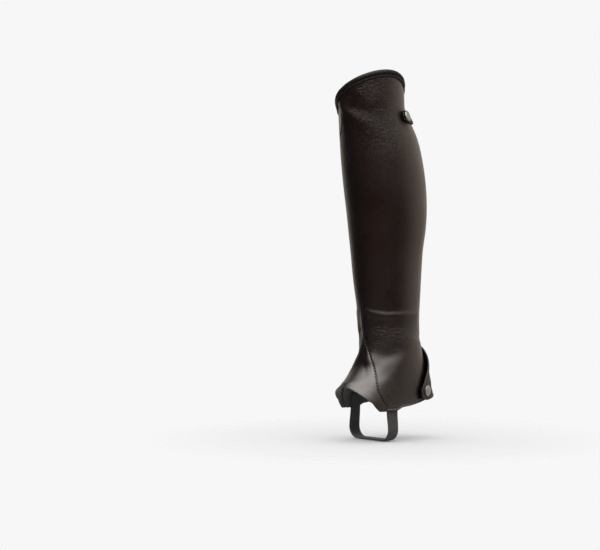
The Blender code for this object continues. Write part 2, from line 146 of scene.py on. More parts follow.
# turn, height, half size across, half size along, lean of the long way, depth
FOLDS = [
    # the dent below the binding, and the swell beside it
    (-29, 99, 13, 20, -4, -2.4),
    (-4, 95, 7, 22, 0, 1.4),
    # hollows above the heel, outside and inside
    (38, -230, 9, 19, 72, -1.2),
    (66, -228, 9, 20, 112, -1.2),
    (-56, -227, 10, 34, 86, -1.7),
    # hollows at the inner side of the calf
    (205, -70, 16, 44, 18, -1.6),
    (250, 30, 15, 38, -22, -1.4),
    # a slanting swell and hollow below the binding
    (7, 101, 7, 20, 50, 2.2),
    (27, 112, 9, 22, 48, -1.2),
    # swells over the ankle bone and beside the gusset's seam
    (80, -232, 9, 40, -28, 1.3),
    (44, -250, 6, 26, -38, 0.7),
    # on the inner side of the front crease
    (-20, -188, 8, 24, 0, -1.6),
    (-38, -197, 7, 15, 0, 1.1),
    (-38, -160, 8, 14, 0, -0.7),
    # the gusset's: below its point, its lip over the instep, and two waves
    (17, -238, 8, 9, 0, 1.0),
    (-3, -270, 2.6, 15, 92, 0.9),
    (12, -246, 8, 24, 90, -0.9),
    (16, -266, 7, 26, 90, 0.9),
    # round the ankle
    (50, -200, 12, 24, 90, 0.9),
    (128, -206, 7, 22, 70, -0.6),
    (-45, -206, 8, 26, 95, -0.8),
    (150, -214, 5, 16, 62, -0.7),
    (-140, -210, 6, 18, 80, -0.8),
    # long and faint, down the calf
    (-118, 60, 9, 44, 12, -0.6),
    (128, -20, 10, 60, -6, 0.35),
    (-95, -110, 9, 50, 10, -0.6),
    (20, -120, 9, 46, -5, 0.3),
]
print(len(FOLDS), "folds")

# %% [markdown]
# A line is a long narrow fold that follows a path. A collar is a step: the leather comes out
# sharply over the edge of the boot's shaft, and goes back slowly below it.

# %% Lines and collars
# a path of (turn, height) places, half width, depth
LINES = [
    # the crease above the instep, and the ridge on its inner side
    ([(3, -163), (1, -178), (0, -190), (1, -209)], 1.5, -2.0),
    ([(-4, -168), (-5, -180), (-5, -192), (-4, -204)], 3.5, 0.9),
    # the ridge in the dent below the binding
    ([(-19, 112), (-14, 106), (-11, 98), (-11, 88), (-16, 79), (-25, 70)], 1.9, 0.8),
    # wrinkles over the ankle
    ([(30, -180), (44, -182), (58, -181)], 1.0, -0.45),
    ([(20, -193), (31, -196), (42, -194)], 1.0, -0.3),
    ([(26, -199), (38, -202), (53, -199)], 1.1, -0.35),
    ([(15, -204), (27, -207), (36, -206)], 1.0, -0.3),
    ([(-16, -195), (-29, -199), (-44, -197)], 1.2, -0.4),
    ([(-24, -205), (-37, -208), (-58, -203)], 1.3, -0.4),
    # wrinkles beside the zip
    ([(171, -188), (158, -192), (149, -191)], 1.6, -0.5),
    ([(171, -204), (160, -209), (146, -207), (138, -203)], 1.8, -0.6),
    ([(-171, -196), (-159, -201), (-146, -198)], 1.7, -0.6),
    ([(-171, -216), (-162, -221), (-152, -221)], 1.6, -0.5),
]
# how far the boot's collar raises the leather, and its path of (turn, height) places. It goes
# round on both sides, and leaves out the front and the zip
COLLARS = [
    (1.4, [(3, -164), (10, -169), (24, -172), (51, -175), (69, -174.5), (108, -174), (132, -171)]),
    (0.7, [(-7, -167), (-24, -172), (-52, -175), (-84, -174), (-110, -170), (-131, -171)]),
]
COLLAR_OVER, COLLAR_UNDER = 3.4, 10.0      # mm in which the step rises and falls
print(len(LINES), "lines and", len(COLLARS), "collars")

# %% [markdown]
# Two small functions do much of the shaping from here on: a blend between two values, and a step
# that starts and ends slowly. A path needs two more. One runs a smooth curve through its few
# places, and one measures how far any place on the leather is from it.

# %% Smooth steps and paths
def blend(start, end, part):
    return start + (end - start) * part


def ease(part):
    """Goes from 0 to 1, and starts and ends slowly."""
    part = np.clip(part, 0, 1)
    return part * part * (3 - 2 * part)


def signed(turn):
    """The same turn between -180 and 180 degrees."""
    return (turn + 180) % 360 - 180


def smooth_path(points, per_step=6):
    """Points on a smooth curve through the given ones."""
    ends = np.array([points[0], *points, points[-1]], float)
    made = []
    for before, start, end, after in zip(ends, ends[1:], ends[2:], ends[3:]):
        for part in np.arange(per_step) / per_step:
            made.append(0.5 * (2 * start + (end - before) * part
                               + (2 * before - 5 * start + 4 * end - after) * part ** 2
                               + (3 * start - before - 3 * end + after) * part ** 3))
    return np.array([*made, ends[-1]])


def line_distance(turn, height, path):
    """Millimetres on the leather from a path."""
    flat = np.stack([np.radians(signed(path[:, 0] - path[0, 0])) * REACH,
                     path[:, 1]], axis=-1)
    x = np.radians(signed(turn - path[0, 0])) * REACH
    nearest = np.full(np.broadcast(turn, height).shape, 1e9)
    for (x0, y0), (x1, y1) in zip(flat, flat[1:]):
        dx, dy = x1 - x0, y1 - y0
        part = np.clip(((x - x0) * dx + (height - y0) * dy) / (dx * dx + dy * dy), 0, 1)
        nearest = np.minimum(nearest, np.hypot(x - x0 - part * dx, height - y0 - part * dy))
    return nearest


SMOOTH_LINES = [(smooth_path(path), width, depth) for path, width, depth in LINES]
FRONT_CREASE = SMOOTH_LINES[0][0]
print("the front crease has", len(FRONT_CREASE), "points")

# %% [markdown]
# The relief is the sum of all folds, lines and collars. Each is a bell curve, which fades into the
# leather without an edge, so they can lie across each other. A point of the leather is then the
# form's own point, moved straight out by the relief and by the layers below it.

# %% Relief of the leather
def collar_step(turn, height, rise, path):
    """How far the boot's collar raises the leather. It fades out at both ends of its path."""
    order = np.argsort([point[0] for point in path])
    turns, heights = np.array(path, float)[order].T
    away = signed(np.asarray(turn, float))
    above = height - np.interp(away, turns, heights)
    profile = np.exp(-np.where(above > 0, above / COLLAR_OVER, above / COLLAR_UNDER) ** 2)
    ends = ease((away - turns[0]) / 7) * ease((turns[-1] - away) / 16)
    return rise * profile * ends


def relief(turn, height):
    """How far the folds and creases raise or sink the leather, in millimetres."""
    total = 0.0
    for at_turn, at_height, half_across, half_along, lean, depth in FOLDS:
        aside = np.radians(signed(turn - at_turn)) * ring_value(float(at_height), HALF_WIDTH)
        up, tip = height - at_height, math.radians(lean)
        across = (aside * math.cos(tip) + up * math.sin(tip)) / half_across
        along = (up * math.cos(tip) - aside * math.sin(tip)) / half_along
        total = total + depth * np.exp(-across ** 2 - along ** 2)
    for path, width, depth in SMOOTH_LINES:
        total = total + depth * np.exp(-(line_distance(turn, height, path) / width) ** 2)
    for rise, path in COLLARS:
        total = total + collar_step(turn, height, rise, path)
    return total


def leg_point(turn, height, out=0.0):
    """Points at a distance out from the inner face of the wrap panel."""
    turn, height = np.broadcast_arrays(np.asarray(turn, float), np.asarray(height, float))
    lift = (out + relief(turn, height))[..., None]
    return bare_leg(turn, height) + leg_normal(turn, height) * lift


print("the dent below the binding is", round(float(relief(-29.0, 99.0)), 2), "mm deep")

# %% [markdown]
# ## Where the edges run
# The top edge slopes from a high point at the outer side of the knee to a low point inside. The
# gusset's seam is an inverted V from the front of the ankle to the hem, and the hem climbs from
# the arch to the heel.

# %% Edges
SLIT = 6.5                       # from the middle of the zip to the edge of the leather
SEAM_TURN = 71.0                 # the gusset's lower corners
APEX, SEAM_FALL = -211.0, 1.333  # its point, and how far its seam falls in each degree
SEAM_TIP = 6.5                   # degrees over which its point is rounded
SEAM_LAP = 9                     # mm of the wrap panel under the gusset
TOP_HIGH, TOP_HIGH_TURN, TOP_HALF_FALL = 156.3, 76, 32    # the top edge's slope
TOP_WAVE, TOP_WAVE_TURN = 2.1, 48                         # and its slight wave
INSTEP_HEM, ARCH_HEM, HEEL_HEM = -275.0, -305.0, -289.0
STRAP_HEM, STRAP_FROM, STRAP_TO = -305.5, 66.5, 81.5      # level where the strap is sewn


def from_front(turn):
    return np.abs(signed(np.asarray(turn, float)))


def back_turn(height, aside):
    """The turn at a distance aside from the middle of the zip, towards the outer side."""
    return 180 - np.degrees(np.arcsin(aside / ring_value(height, HALF_WIDTH)))


def top_edge(turn):
    angle = np.radians(np.asarray(turn, float))
    return (TOP_HIGH - TOP_HALF_FALL * (1 - np.cos(angle - math.radians(TOP_HIGH_TURN)))
            - TOP_WAVE * np.cos(2 * (angle - math.radians(TOP_WAVE_TURN))))


def seam_line(turn):
    return APEX - SEAM_FALL * (np.hypot(from_front(turn), SEAM_TIP) - SEAM_TIP)


def hem_line(turn):
    away = from_front(turn)
    rest = 1 - (away - SEAM_TURN) / (180 - SEAM_TURN)
    level = STRAP_HEM + np.maximum(1.15 * (STRAP_FROM - away), 1.7 * (away - STRAP_TO))
    level = np.maximum(level, STRAP_HEM)
    under_gusset = INSTEP_HEM + (ARCH_HEM - INSTEP_HEM) * (away / SEAM_TURN) ** 2
    towards_heel = ARCH_HEM + (HEEL_HEM - ARCH_HEM) * (1 - rest ** 2)
    return np.minimum(level, np.where(away < SEAM_TURN, under_gusset, towards_heel))


def panel_foot(turn):
    """The wrap panel's lower edge, which runs on under the gusset."""
    return np.where(from_front(turn) >= SEAM_TURN, hem_line(turn),
                    np.maximum(seam_line(turn) - SEAM_LAP, hem_line(turn)))


print("hem from", float(hem_line(0)), "at the instep to", float(hem_line(180)), "at the heel")

# %% [markdown]
# ## Camera
# A long lens far away, a little in front of the outer side, nearly level with the knee: the way
# a product is shown to keep its upright lines upright.

# %% Camera
CAMERA_TURN, CAMERA_DISTANCE = 51.0, 4.0
CAMERA_HEIGHT, AIM_HEIGHT = 0.066, -0.122
LENS, SENSOR = 175.2, 36.0
TOWARD = Vector((math.sin(math.radians(CAMERA_TURN)), -math.cos(math.radians(CAMERA_TURN)), 0))
RIGHT = Vector((-TOWARD.y, TOWARD.x, 0))
ASIDE = RIGHT * -0.11508                  # the chap stands right of the middle of the view
camera = bpy.data.objects.new("camera", bpy.data.cameras.new("camera"))
bpy.context.scene.collection.objects.link(camera)
camera.location = TOWARD * CAMERA_DISTANCE + ASIDE + Vector((0, 0, CAMERA_HEIGHT))
aim = ASIDE + Vector((0, 0, AIM_HEIGHT))
camera.rotation_mode = "QUATERNION"
camera.rotation_quaternion = (aim - camera.location).to_track_quat("-Z", "Y")
camera.data.lens, camera.data.sensor_width = LENS, SENSOR
bpy.context.scene.camera = camera
print("camera", [round(v, 3) for v in camera.location])

# %% [markdown]
# ## Nodes and colours
# A few small helpers build every material. One turns an sRGB hex colour into the linear values
# that Blender works with, one gives a node's inputs their values and links, and one adds a node.

# %% Node and colour helpers
def linear(hex_colour):
    """Linear RGBA from an sRGB hex colour such as 1f1a18."""
    parts = [int(hex_colour[at:at + 2], 16) / 255 for at in (0, 2, 4)]
    return (*[part / 12.92 if part <= 0.04045 else ((part + 0.055) / 1.055) ** 2.4
              for part in parts], 1.0)


def set_inputs(tree, node, inputs):
    """An input gets a value, or a link where the value is another node's socket."""
    for key, value in dict(inputs).items():
        if isinstance(value, bpy.types.NodeSocket):
            tree.links.new(value, node.inputs[key])
        else:
            node.inputs[key].default_value = value


def add_node(tree, kind, inputs=(), **settings):
    """Adds a node with its settings, values and links. The colours of a Mix node are its inputs 6
    and 7 and its output 2."""
    made = tree.nodes.new("ShaderNode" + kind)
    for key, value in settings.items():
        setattr(made, key, value)
    set_inputs(tree, made, inputs)
    return made


def new_material(name, **shader_inputs):
    """A material with a plain principled shader, and what is needed to build on it."""
    made = bpy.data.materials.new(name)
    made.use_nodes = True
    tree = made.node_tree
    shader = tree.nodes["Principled BSDF"]
    set_inputs(tree, shader, {key.replace("_", " "): value for key, value in shader_inputs.items()})
    return made, tree, shader


print("white is", linear("ffffff"))

# %% [markdown]
# ## Leather
# The outside is full-grain cowhide, dyed through a warm black and finished with a thin semi-gloss
# acrylic. The eye sees three sizes of detail. The grain is a net of fine valleys round pebbles
# about a millimetre wide. Below the knee and over the ankle the skin has short level wrinkles,
# because a hide stretches more one way than the other. And the finish is a little cloudy over a
# few centimetres. Grain under a millimetre is too fine to show at arm's length, so it is drawn as
# coarse as it needs to be to break up the shine.
#
# Two attributes of a piece change its finish from place to place. Along a cut or folded edge it is
# worn and lighter. The other paints shade: where it is set, the finish turns matt and mirrors
# nothing, so the place goes dark as if in shade.

# %% Sizes in the leather
GRAIN_WIDER, WRINKLES_WIDER = 1.7, 4.0            # how much wider than high the marks are
PORES = 0.45                                      # of a pebble's width
WRINKLE, CLOUD = 7.4, 38.0                        # mm
GRAIN_DEPTH = 0.05                                # mm
KNEE_FROM, KNEE_TO = -0.02, 0.07                  # m, where the wrinkles below the knee grow
SHAFT_WRINKLED, KNEE_WRINKLED, ANKLE_WRINKLED = 0.12, 0.65, 0.9
ANKLE_HEIGHT, ANKLE_NEAR, ANKLE_FAR = -0.206, 0.008, 0.034    # m, full near and none far
EDGE_TONE, EDGE_WORN = "2c2725", 0.4
GLOSSY, MATT = 0.5, 0.05                          # specular levels: the leather's own, and where shade is painted
MATT_ROUGHER = 0.45                               # roughness that a place of painted shade adds


def how_wrinkled(tree, where):
    """The wrinkles' strength by height: little on the shaft, more at the knee and the ankle."""
    height = add_node(tree, "SeparateXYZ", {"Vector": where}).outputs["Z"]
    knee = add_node(tree, "MapRange", {
        "Value": height, "From Min": KNEE_FROM, "From Max": KNEE_TO,
        "To Min": SHAFT_WRINKLED, "To Max": KNEE_WRINKLED}, clamp=True).outputs[0]
    away = add_node(tree, "Math", {0: height, 1: -ANKLE_HEIGHT}, operation="ADD").outputs[0]
    away = add_node(tree, "Math", {0: away}, operation="ABSOLUTE").outputs[0]
    ankle = add_node(tree, "MapRange", {
        "Value": away, "From Min": ANKLE_FAR, "From Max": ANKLE_NEAR,
        "To Max": ANKLE_WRINKLED}, clamp=True).outputs[0]
    return add_node(tree, "Math", {0: knee, 1: ankle}, operation="MAXIMUM").outputs[0]


print("wrinkles every", WRINKLE, "mm and clouds every", CLOUD, "mm")

# %% [markdown]
# The leather is built in three steps. Its height comes from the grain, with the wrinkles on top.
# Its colour is a mix of two dyes by the clouds, and its roughness goes with the clouds as well.

# %% Grain leather
def grain_leather(name, dark, light, grain, roughness, wrinkles, ior=1.46, dulled=True):
    """Finished leather. Grain is a pebble's width and wrinkles are their depth, in millimetres.
    With the last argument set, the leather takes painted shade from its piece's attribute, from 0,
    its own gloss, to 1, matt."""
    made, tree, shader = new_material(name, IOR=ior)
    where = add_node(tree, "TexCoord").outputs["Object"]
    level = add_node(tree, "Mapping", {"Vector": where, "Scale": (1, 1, GRAIN_WIDER)}).outputs[0]
    drawn = add_node(tree, "Mapping", {"Vector": where,
                                       "Scale": (1, 1, WRINKLES_WIDER)}).outputs[0]
    pebbles = add_node(tree, "TexVoronoi", {"Vector": level, "Scale": 1000 / grain},
                       feature="DISTANCE_TO_EDGE").outputs["Distance"]
    valleys = add_node(tree, "MapRange", {"Value": pebbles, "From Max": 0.16}).outputs[0]
    pores = add_node(tree, "TexNoise", {"Vector": level, "Scale": 1000 / (grain * PORES),
                                        "Detail": 2.0}).outputs[0]
    lines = add_node(tree, "TexNoise", {"Vector": drawn, "Scale": 1000 / WRINKLE, "Detail": 3.0,
                                        "Roughness": 0.55, "Distortion": 0.8}).outputs[0]
    cloud = add_node(tree, "TexNoise", {"Vector": where, "Scale": 1000 / CLOUD,
                                        "Detail": 3.0}).outputs[0]
    # height: the grain first, and the wrinkles over it
    drawn_lines = add_node(tree, "Math", {0: lines, 1: how_wrinkled(tree, where)},
                           operation="MULTIPLY").outputs[0]
    fine = add_node(tree, "Math", {0: valleys, 1: pores}, operation="ADD").outputs[0]
    bump = add_node(tree, "Bump", {"Height": fine, "Distance": GRAIN_DEPTH * MM, "Strength": 0.8})
    bump = add_node(tree, "Bump", {"Height": drawn_lines, "Distance": wrinkles * MM,
                                   "Strength": 1.0, "Normal": bump.outputs[0]})
    # colour: cloudy, and lighter where an edge is worn
    edge = add_node(tree, "Attribute", attribute_name="edge").outputs["Fac"]
    worn = add_node(tree, "Math", {0: edge, 1: EDGE_WORN}, operation="MULTIPLY").outputs[0]
    tone = add_node(tree, "Mix", {"Factor": cloud, 6: linear(dark), 7: linear(light)},
                    data_type="RGBA").outputs[2]
    tone = add_node(tree, "Mix", {"Factor": worn, 6: tone, 7: linear(EDGE_TONE)},
                    data_type="RGBA").outputs[2]
    # gloss: cloudy, and a little rougher in the valleys
    cloudy = add_node(tree, "MapRange", {"Value": cloud, "From Min": 0.3, "From Max": 0.7,
                                         "To Min": roughness - 0.04,
                                         "To Max": roughness + 0.05}).outputs[0]
    rougher = add_node(tree, "MapRange", {"Value": valleys, "From Min": 1.0, "From Max": 0.0,
                                          "To Max": 0.08}).outputs[0]
    rough = add_node(tree, "Math", {0: cloudy, 1: rougher}, operation="ADD").outputs[0]
    # painted shade: where the piece's attribute is set, the finish turns matt and mirrors nothing
    if dulled:
        dull = add_node(tree, "Attribute", attribute_name="dull").outputs["Fac"]
        shine = add_node(tree, "MapRange", {"Value": dull, "To Min": GLOSSY, "To Max": MATT})
        set_inputs(tree, shader, {"Specular IOR Level": shine.outputs[0]})
        rough = add_node(tree, "Math", {0: dull, 1: MATT_ROUGHER, 2: rough},
                         operation="MULTIPLY_ADD").outputs[0]
    set_inputs(tree, shader, {"Normal": bump.outputs[0], "Base Color": tone, "Roughness": rough})
    return made


PANEL_LEATHER = grain_leather("full_grain_cowhide", "0d0705", "130a08", 1.3, 0.28, 0.66)
TAB_HIDE = grain_leather("matt_tab_leather", "090706", "100d0b", 1.1, 0.5, 0.1, 1.33)
SOFT_LEATHER = grain_leather("soft_binding_leather", "0e0c0a", "14110e", 0.9, 0.5, 0.1, 1.22,
                             dulled=False)
print("leathers", PANEL_LEATHER.name, TAB_HIDE.name, SOFT_LEATHER.name)

# %% [markdown]
# The inside is the flesh side of the same hide, buffed but unfinished. It has a short nap, so it
# is dull and a little lighter, and sheen along its fibres lifts it where it turns away.

# %% Flesh side
FLESH, tree, shader = new_material("buffed_flesh_side", Roughness=0.92, IOR=1.45,
                                   Sheen_Weight=0.35, Sheen_Roughness=0.5)
where = add_node(tree, "TexCoord").outputs["Object"]
nap = add_node(tree, "TexNoise", {"Vector": where, "Scale": 1000 / 0.8, "Detail": 4.0})
fibres = add_node(tree, "TexNoise", {"Vector": where, "Scale": 1000 / 9.0, "Detail": 5.0})
tone = add_node(tree, "Mix", {"Factor": fibres.outputs[0], 6: linear("1d1917"),
                              7: linear("342d29")}, data_type="RGBA")
bump = add_node(tree, "Bump", {"Height": nap.outputs[0], "Distance": 0.2 * MM, "Strength": 0.7})
set_inputs(tree, shader, {"Base Color": tone.outputs[2], "Normal": bump.outputs[0]})
print(FLESH.name, "has", len(tree.nodes), "nodes")

# %% [markdown]
# ## Thread
# Most of the thread is bonded polyester, twisted from three strands, with a slight shine. The
# gusset is sewn with a thicker waxed linen, which is matt: its stitches read as dark dashes.

# %% Thread
def thread(name, gloss):
    made, tree, shader = new_material(name, Roughness=0.5, IOR=1.5, Specular_IOR_Level=gloss)
    where = add_node(tree, "TexCoord").outputs["Object"]
    strands = add_node(tree, "TexNoise", {"Vector": where, "Scale": 1000 / 0.35}).outputs[0]
    tone = add_node(tree, "Mix", {"Factor": strands, 6: linear("040404"), 7: linear("0d0c0b")},
                    data_type="RGBA")
    bump = add_node(tree, "Bump", {"Height": strands, "Distance": 0.1 * MM})
    set_inputs(tree, shader, {"Base Color": tone.outputs[2], "Normal": bump.outputs[0]})
    return made


THREAD = thread("bonded_thread", 0.5)
MATT_THREAD = thread("waxed_linen_thread", 0.06)
print("threads", THREAD.name, MATT_THREAD.name)

# %% [markdown]
# ## Tape and elastic
# The zip's tape is woven polyester in a herringbone, and the strap is ribbed elastic: fine cords
# along it, bound by yarn across. A weave follows the surface, so these two read a UV map that is
# laid out in metres.

# %% Woven materials
WAVE = 314.0                     # mm, in which a wave texture repeats at a scale of 1
ZIGZAG = 2.0                     # mm, one leg of the herringbone


def woven(name, dark, light, rib, pick, roughness, herringbone):
    """Ribs run along the piece and picks across it, both spaced in millimetres."""
    made, tree, shader = new_material(name, Roughness=roughness, IOR=1.5, Sheen_Weight=0.12)
    where = add_node(tree, "UVMap").outputs[0]
    if herringbone:
        across, along, _ = add_node(tree, "SeparateXYZ", {"Vector": where}).outputs
        zigzag = add_node(tree, "Math", {0: across, 1: ZIGZAG * MM}, operation="PINGPONG")
        slanted = add_node(tree, "Math", {0: zigzag.outputs[0], 1: along}, operation="ADD")
        where = add_node(tree, "CombineXYZ", {0: slanted.outputs[0], 1: along}).outputs[0]
    ribs, picks = (add_node(tree, "TexWave", {"Vector": where, "Scale": WAVE / spacing},
                            bands_direction=bands).outputs[0]
                   for spacing, bands in ((rib, "X"), (pick, "Y")))
    plain_ribs = add_node(tree, "Math", {0: ribs, 1: 0.6}, operation="MULTIPLY").outputs[0]
    cloth = add_node(tree, "Math", {0: ribs, 1: picks, 2: plain_ribs},
                     operation="MULTIPLY_ADD").outputs[0]
    tone = add_node(tree, "Mix", {"Factor": cloth, 6: linear(dark), 7: linear(light)},
                    data_type="RGBA")
    bump = add_node(tree, "Bump", {"Height": cloth, "Distance": 0.18 * MM})
    set_inputs(tree, shader, {"Base Color": tone.outputs[2], "Normal": bump.outputs[0]})
    return made


ZIP_CLOTH = woven("woven_zip_tape", "101011", "26262a", 0.7, 1.0, 0.85, True)
ELASTIC_CLOTH = woven("ribbed_elastic", "0b0b0b", "1d1c1c", 1.1, 0.8, 0.8, False)
print("cloths", ZIP_CLOTH.name, ELASTIC_CLOTH.name)

# %% [markdown]
# ## Metal and moulded parts
# The slider and its pull are die-cast zinc with a dark nickel plating. The snap caps are pressed
# brass, plated a satin pewter. Both carry the soft marks of tumbling and wear, which change their
# tone and their shine together. The teeth are moulded acetal, dull black and slightly mottled.

# %% Metals and plastic
def plated(name, dark, light, roughness, scratch):
    made, tree, shader = new_material(name, Metallic=1.0)
    where = add_node(tree, "TexCoord").outputs["Object"]
    marks = add_node(tree, "TexNoise", {"Vector": where, "Scale": 1000 / scratch, "Detail": 6.0,
                                        "Roughness": 0.7}).outputs[0]
    tone = add_node(tree, "Mix", {"Factor": marks, 6: linear(dark), 7: linear(light)},
                    data_type="RGBA")
    rough = add_node(tree, "MapRange", {"Value": marks, "To Min": roughness - 0.08,
                                        "To Max": roughness + 0.12})
    bump = add_node(tree, "Bump", {"Height": marks, "Distance": 0.02 * MM, "Strength": 0.5})
    set_inputs(tree, shader, {"Base Color": tone.outputs[2], "Roughness": rough.outputs[0],
                              "Normal": bump.outputs[0]})
    return made


PEWTER = plated("satin_pewter_plating", "6c7371", "929896", 0.34, 2.5)
DARK_NICKEL = plated("dark_nickel_plating", "4a4845", "6d6a66", 0.3, 2.0)
ACETAL, tree, shader = new_material("moulded_acetal", IOR=1.48)
where = add_node(tree, "TexCoord").outputs["Object"]
skin = add_node(tree, "TexNoise", {"Vector": where, "Scale": 1000 / 1.5, "Detail": 3.0}).outputs[0]
tone = add_node(tree, "Mix", {"Factor": skin, 6: linear("131315"), 7: linear("1d1d20")},
                data_type="RGBA")
rough = add_node(tree, "MapRange", {"Value": skin, "To Min": 0.36, "To Max": 0.5})
set_inputs(tree, shader, {"Base Color": tone.outputs[2], "Roughness": rough.outputs[0]})
print("hard finishes", PEWTER.name, DARK_NICKEL.name, ACETAL.name)

# %% [markdown]
# ## A sheet of leather as a closed shell
# A panel is a grid of points on the leg, once for its outer face and once for its inner face. Near
# every edge the two faces close in on each other along a half circle, so that the cut or turned
# edge is round, and along the border they share their points. This keeps the shell closed without
# a modifier, and the grid lines can be drawn close together where the edge turns.

# %% Edges of a sheet
EDGE_STEPS = [0, 0.12, 0.4, 0.9, 1.5, 2.1, 2.7, 3.4, 4.2, 5.2]      # mm from a thick edge
THIN_STEPS = EDGE_STEPS[:4]                                        # and from a thin one


def edged(length, middle_step, start=EDGE_STEPS, end=EDGE_STEPS):
    """Fractions of a length, close together at both ends."""
    count = max(2, round((length - start[-1] - end[-1]) / middle_step))
    middle = np.linspace(start[-1], length - end[-1], count + 1)
    return np.concatenate([start[:-1], middle, length - np.array(end[:-1])[::-1]]) / length


def rounding(distance, half):
    """The share of its thickness that a sheet has at a distance from its edge."""
    inside = np.clip(distance / half, 0, 1)
    return np.sqrt(1 - (1 - inside) ** 2)


def border(grid):
    """The points round a grid, in order."""
    return np.concatenate([grid[:, 0], grid[-1, 1:], grid[-2::-1, -1], grid[0, -2:0:-1]])


def outline_distance(points, outline):
    """The distance of each point from a closed outline, in millimetres."""
    nearest = np.full(points.shape[:-1], 1e9)
    for start, end in zip(outline, np.roll(outline, -1, axis=0)):
        line = end - start
        length = float(line @ line)
        if length < 1e-12:
            continue
        part = np.clip(((points - start) @ line) / length, 0, 1)[..., None]
        nearest = np.minimum(nearest, np.linalg.norm(points - start - part * line, axis=-1))
    return nearest


print("half a millimetre in, a sheet has", round(float(rounding(0.5, 0.9)), 2), "of its thickness")

# %% [markdown]
# A shell's mesh comes from its two grids of points. It also gets a UV map in metres, which cloths
# read, and one or two point attributes, which leathers read.

# %% Shells
def new_object(name, points, faces, material, inner_from=None, inner_material=None):
    """A mesh from points in millimetres. Faces from inner_from on take the inner material."""
    mesh = bpy.data.meshes.new(name)
    mesh.from_pydata((np.asarray(points) * MM).tolist(), [], [list(face) for face in faces])
    mesh.materials.append(material)
    if inner_material:
        mesh.materials.append(inner_material)
        mesh.polygons.foreach_set("material_index",
                                  (np.arange(len(faces)) >= inner_from).astype(np.int32))
    mesh.shade_smooth()
    made = bpy.data.objects.new(name, mesh)
    bpy.context.scene.collection.objects.link(made)
    return made


def make_shell(name, outer, inner, material, inner_material=None, **tones):
    """A closed shell from two grids of points that meet along their borders. A tone is a point
    attribute that its material reads, given as a grid of numbers."""
    columns, rows = outer.shape[:2]
    outer_at = np.arange(columns * rows).reshape(columns, rows)
    inner_at = outer_at.copy()
    inner_at[1:-1, 1:-1] = columns * rows + np.arange((columns - 2) * (rows - 2)).reshape(
        columns - 2, rows - 2)
    points = np.concatenate([outer.reshape(-1, 3), inner[1:-1, 1:-1].reshape(-1, 3)])
    out_faces = np.stack([outer_at[:-1, :-1], outer_at[1:, :-1], outer_at[1:, 1:],
                          outer_at[:-1, 1:]], axis=-1).reshape(-1, 4)
    in_faces = np.stack([inner_at[:-1, :-1], inner_at[:-1, 1:], inner_at[1:, 1:],
                         inner_at[1:, :-1]], axis=-1).reshape(-1, 4)
    made = new_object(name, points, [*out_faces, *in_faces], material, len(out_faces),
                      inner_material)
    mesh = made.data
    # UVs in metres, along the columns and the rows
    across = np.linalg.norm(np.diff(outer, axis=0), axis=-1).mean(axis=1)
    up = np.linalg.norm(np.diff(outer, axis=1), axis=-1).mean(axis=0)
    u, v = np.meshgrid(np.append(0, np.cumsum(across)), np.append(0, np.cumsum(up)),
                       indexing="ij")
    flat = np.stack([u, v], axis=-1) * MM
    at_point = np.concatenate([flat.reshape(-1, 2), flat[1:-1, 1:-1].reshape(-1, 2)])
    corner = np.empty(len(mesh.loops), np.int32)
    mesh.loops.foreach_get("vertex_index", corner)
    mesh.uv_layers.new(name="surface").data.foreach_set("uv", at_point[corner].ravel())
    for key, tone in tones.items():
        values = np.concatenate([tone.ravel(), tone[1:-1, 1:-1].ravel()])
        mesh.attributes.new(key, "FLOAT", "POINT").data.foreach_set("value", values)
    area = sum(face.area for face in mesh.polygons) / 2
    print(name, len(mesh.polygons), "faces, one side", round(area * 1e4, 1), "cm2")
    return made


def finish_piece(piece, slot, *nodes, body="chap"):
    """Attaches a piece to the body it moves with, and hides the solids that it stands for. Its slot
    is not used.
    """
    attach(piece, body)
    if nodes:
        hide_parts(*nodes)


# %% [markdown]
# ## The wrap panel
# This is one piece of hide, cut to a curved shape, so that it needs no seam but the zip. Its long
# edges and its hem are skived thin, turned under for 8 mm and sewn down, which leaves a soft step
# and a groove where the thread pulls in. The grid's lines lie closer together over the ankle and
# at every edge, where the small shapes are.

# %% Grid of the wrap panel
TURNED = 8.0                     # mm of leather turned under along an edge
SEWN = 3.2                       # mm from a turned edge to its stitches
PANEL_HEIGHT, PANEL_HALF = 461.0, 165.0       # mm, its height and half its width


def steps_along(*stretches):
    """Distances with a different spacing in each stretch, given as (end, step)."""
    made = list(EDGE_STEPS)
    for end, step in stretches:
        count = max(1, round((end - made[-1]) / step))
        made += list(np.linspace(made[-1], end, count + 1)[1:])
    return np.array(made)


rows = np.append(steps_along((8.4, 0.8), (165, 1.6), (392, 3.1), (452, 2.1)),
                 PANEL_HEIGHT - np.array([6, 3, 0.9, 0.4, 0.12, 0])) / PANEL_HEIGHT
half_columns = steps_along((8.8, 0.9), (PANEL_HALF, 1.95)) / PANEL_HALF
columns = np.concatenate([half_columns - 1, (1 - half_columns)[-2::-1]])
u, v = np.meshgrid(columns, rows, indexing="ij")
back_height = blend(hem_line(180.0), top_edge(180.0), v)
half_turn = back_turn(back_height, SLIT)
wrap_turn = u * half_turn
wrap_height = blend(panel_foot(wrap_turn), top_edge(wrap_turn), v)
zip_distance = (1 - np.abs(u)) * np.radians(half_turn) * ring_value(wrap_height, HALF_WIDTH)
foot_distance = wrap_height - panel_foot(wrap_turn)
top_distance = top_edge(wrap_turn) - wrap_height
edge_distance = np.minimum(np.minimum(zip_distance, foot_distance), top_distance)
print("the panel's grid is", " by ".join(str(count) for count in wrap_turn.shape))

# %% [markdown]
# The turned edges raise the outer face, and so does a fuller lip on the hem at the outer side,
# where the edge stands off the boot. Shade is painted into the finish in three places, where it
# turns
# matt and mirrors nothing: beside the top snap, where the tab's shadow falls, down the front crease
# to the gusset's point, and a little over the ankle, where it dims the highlight.

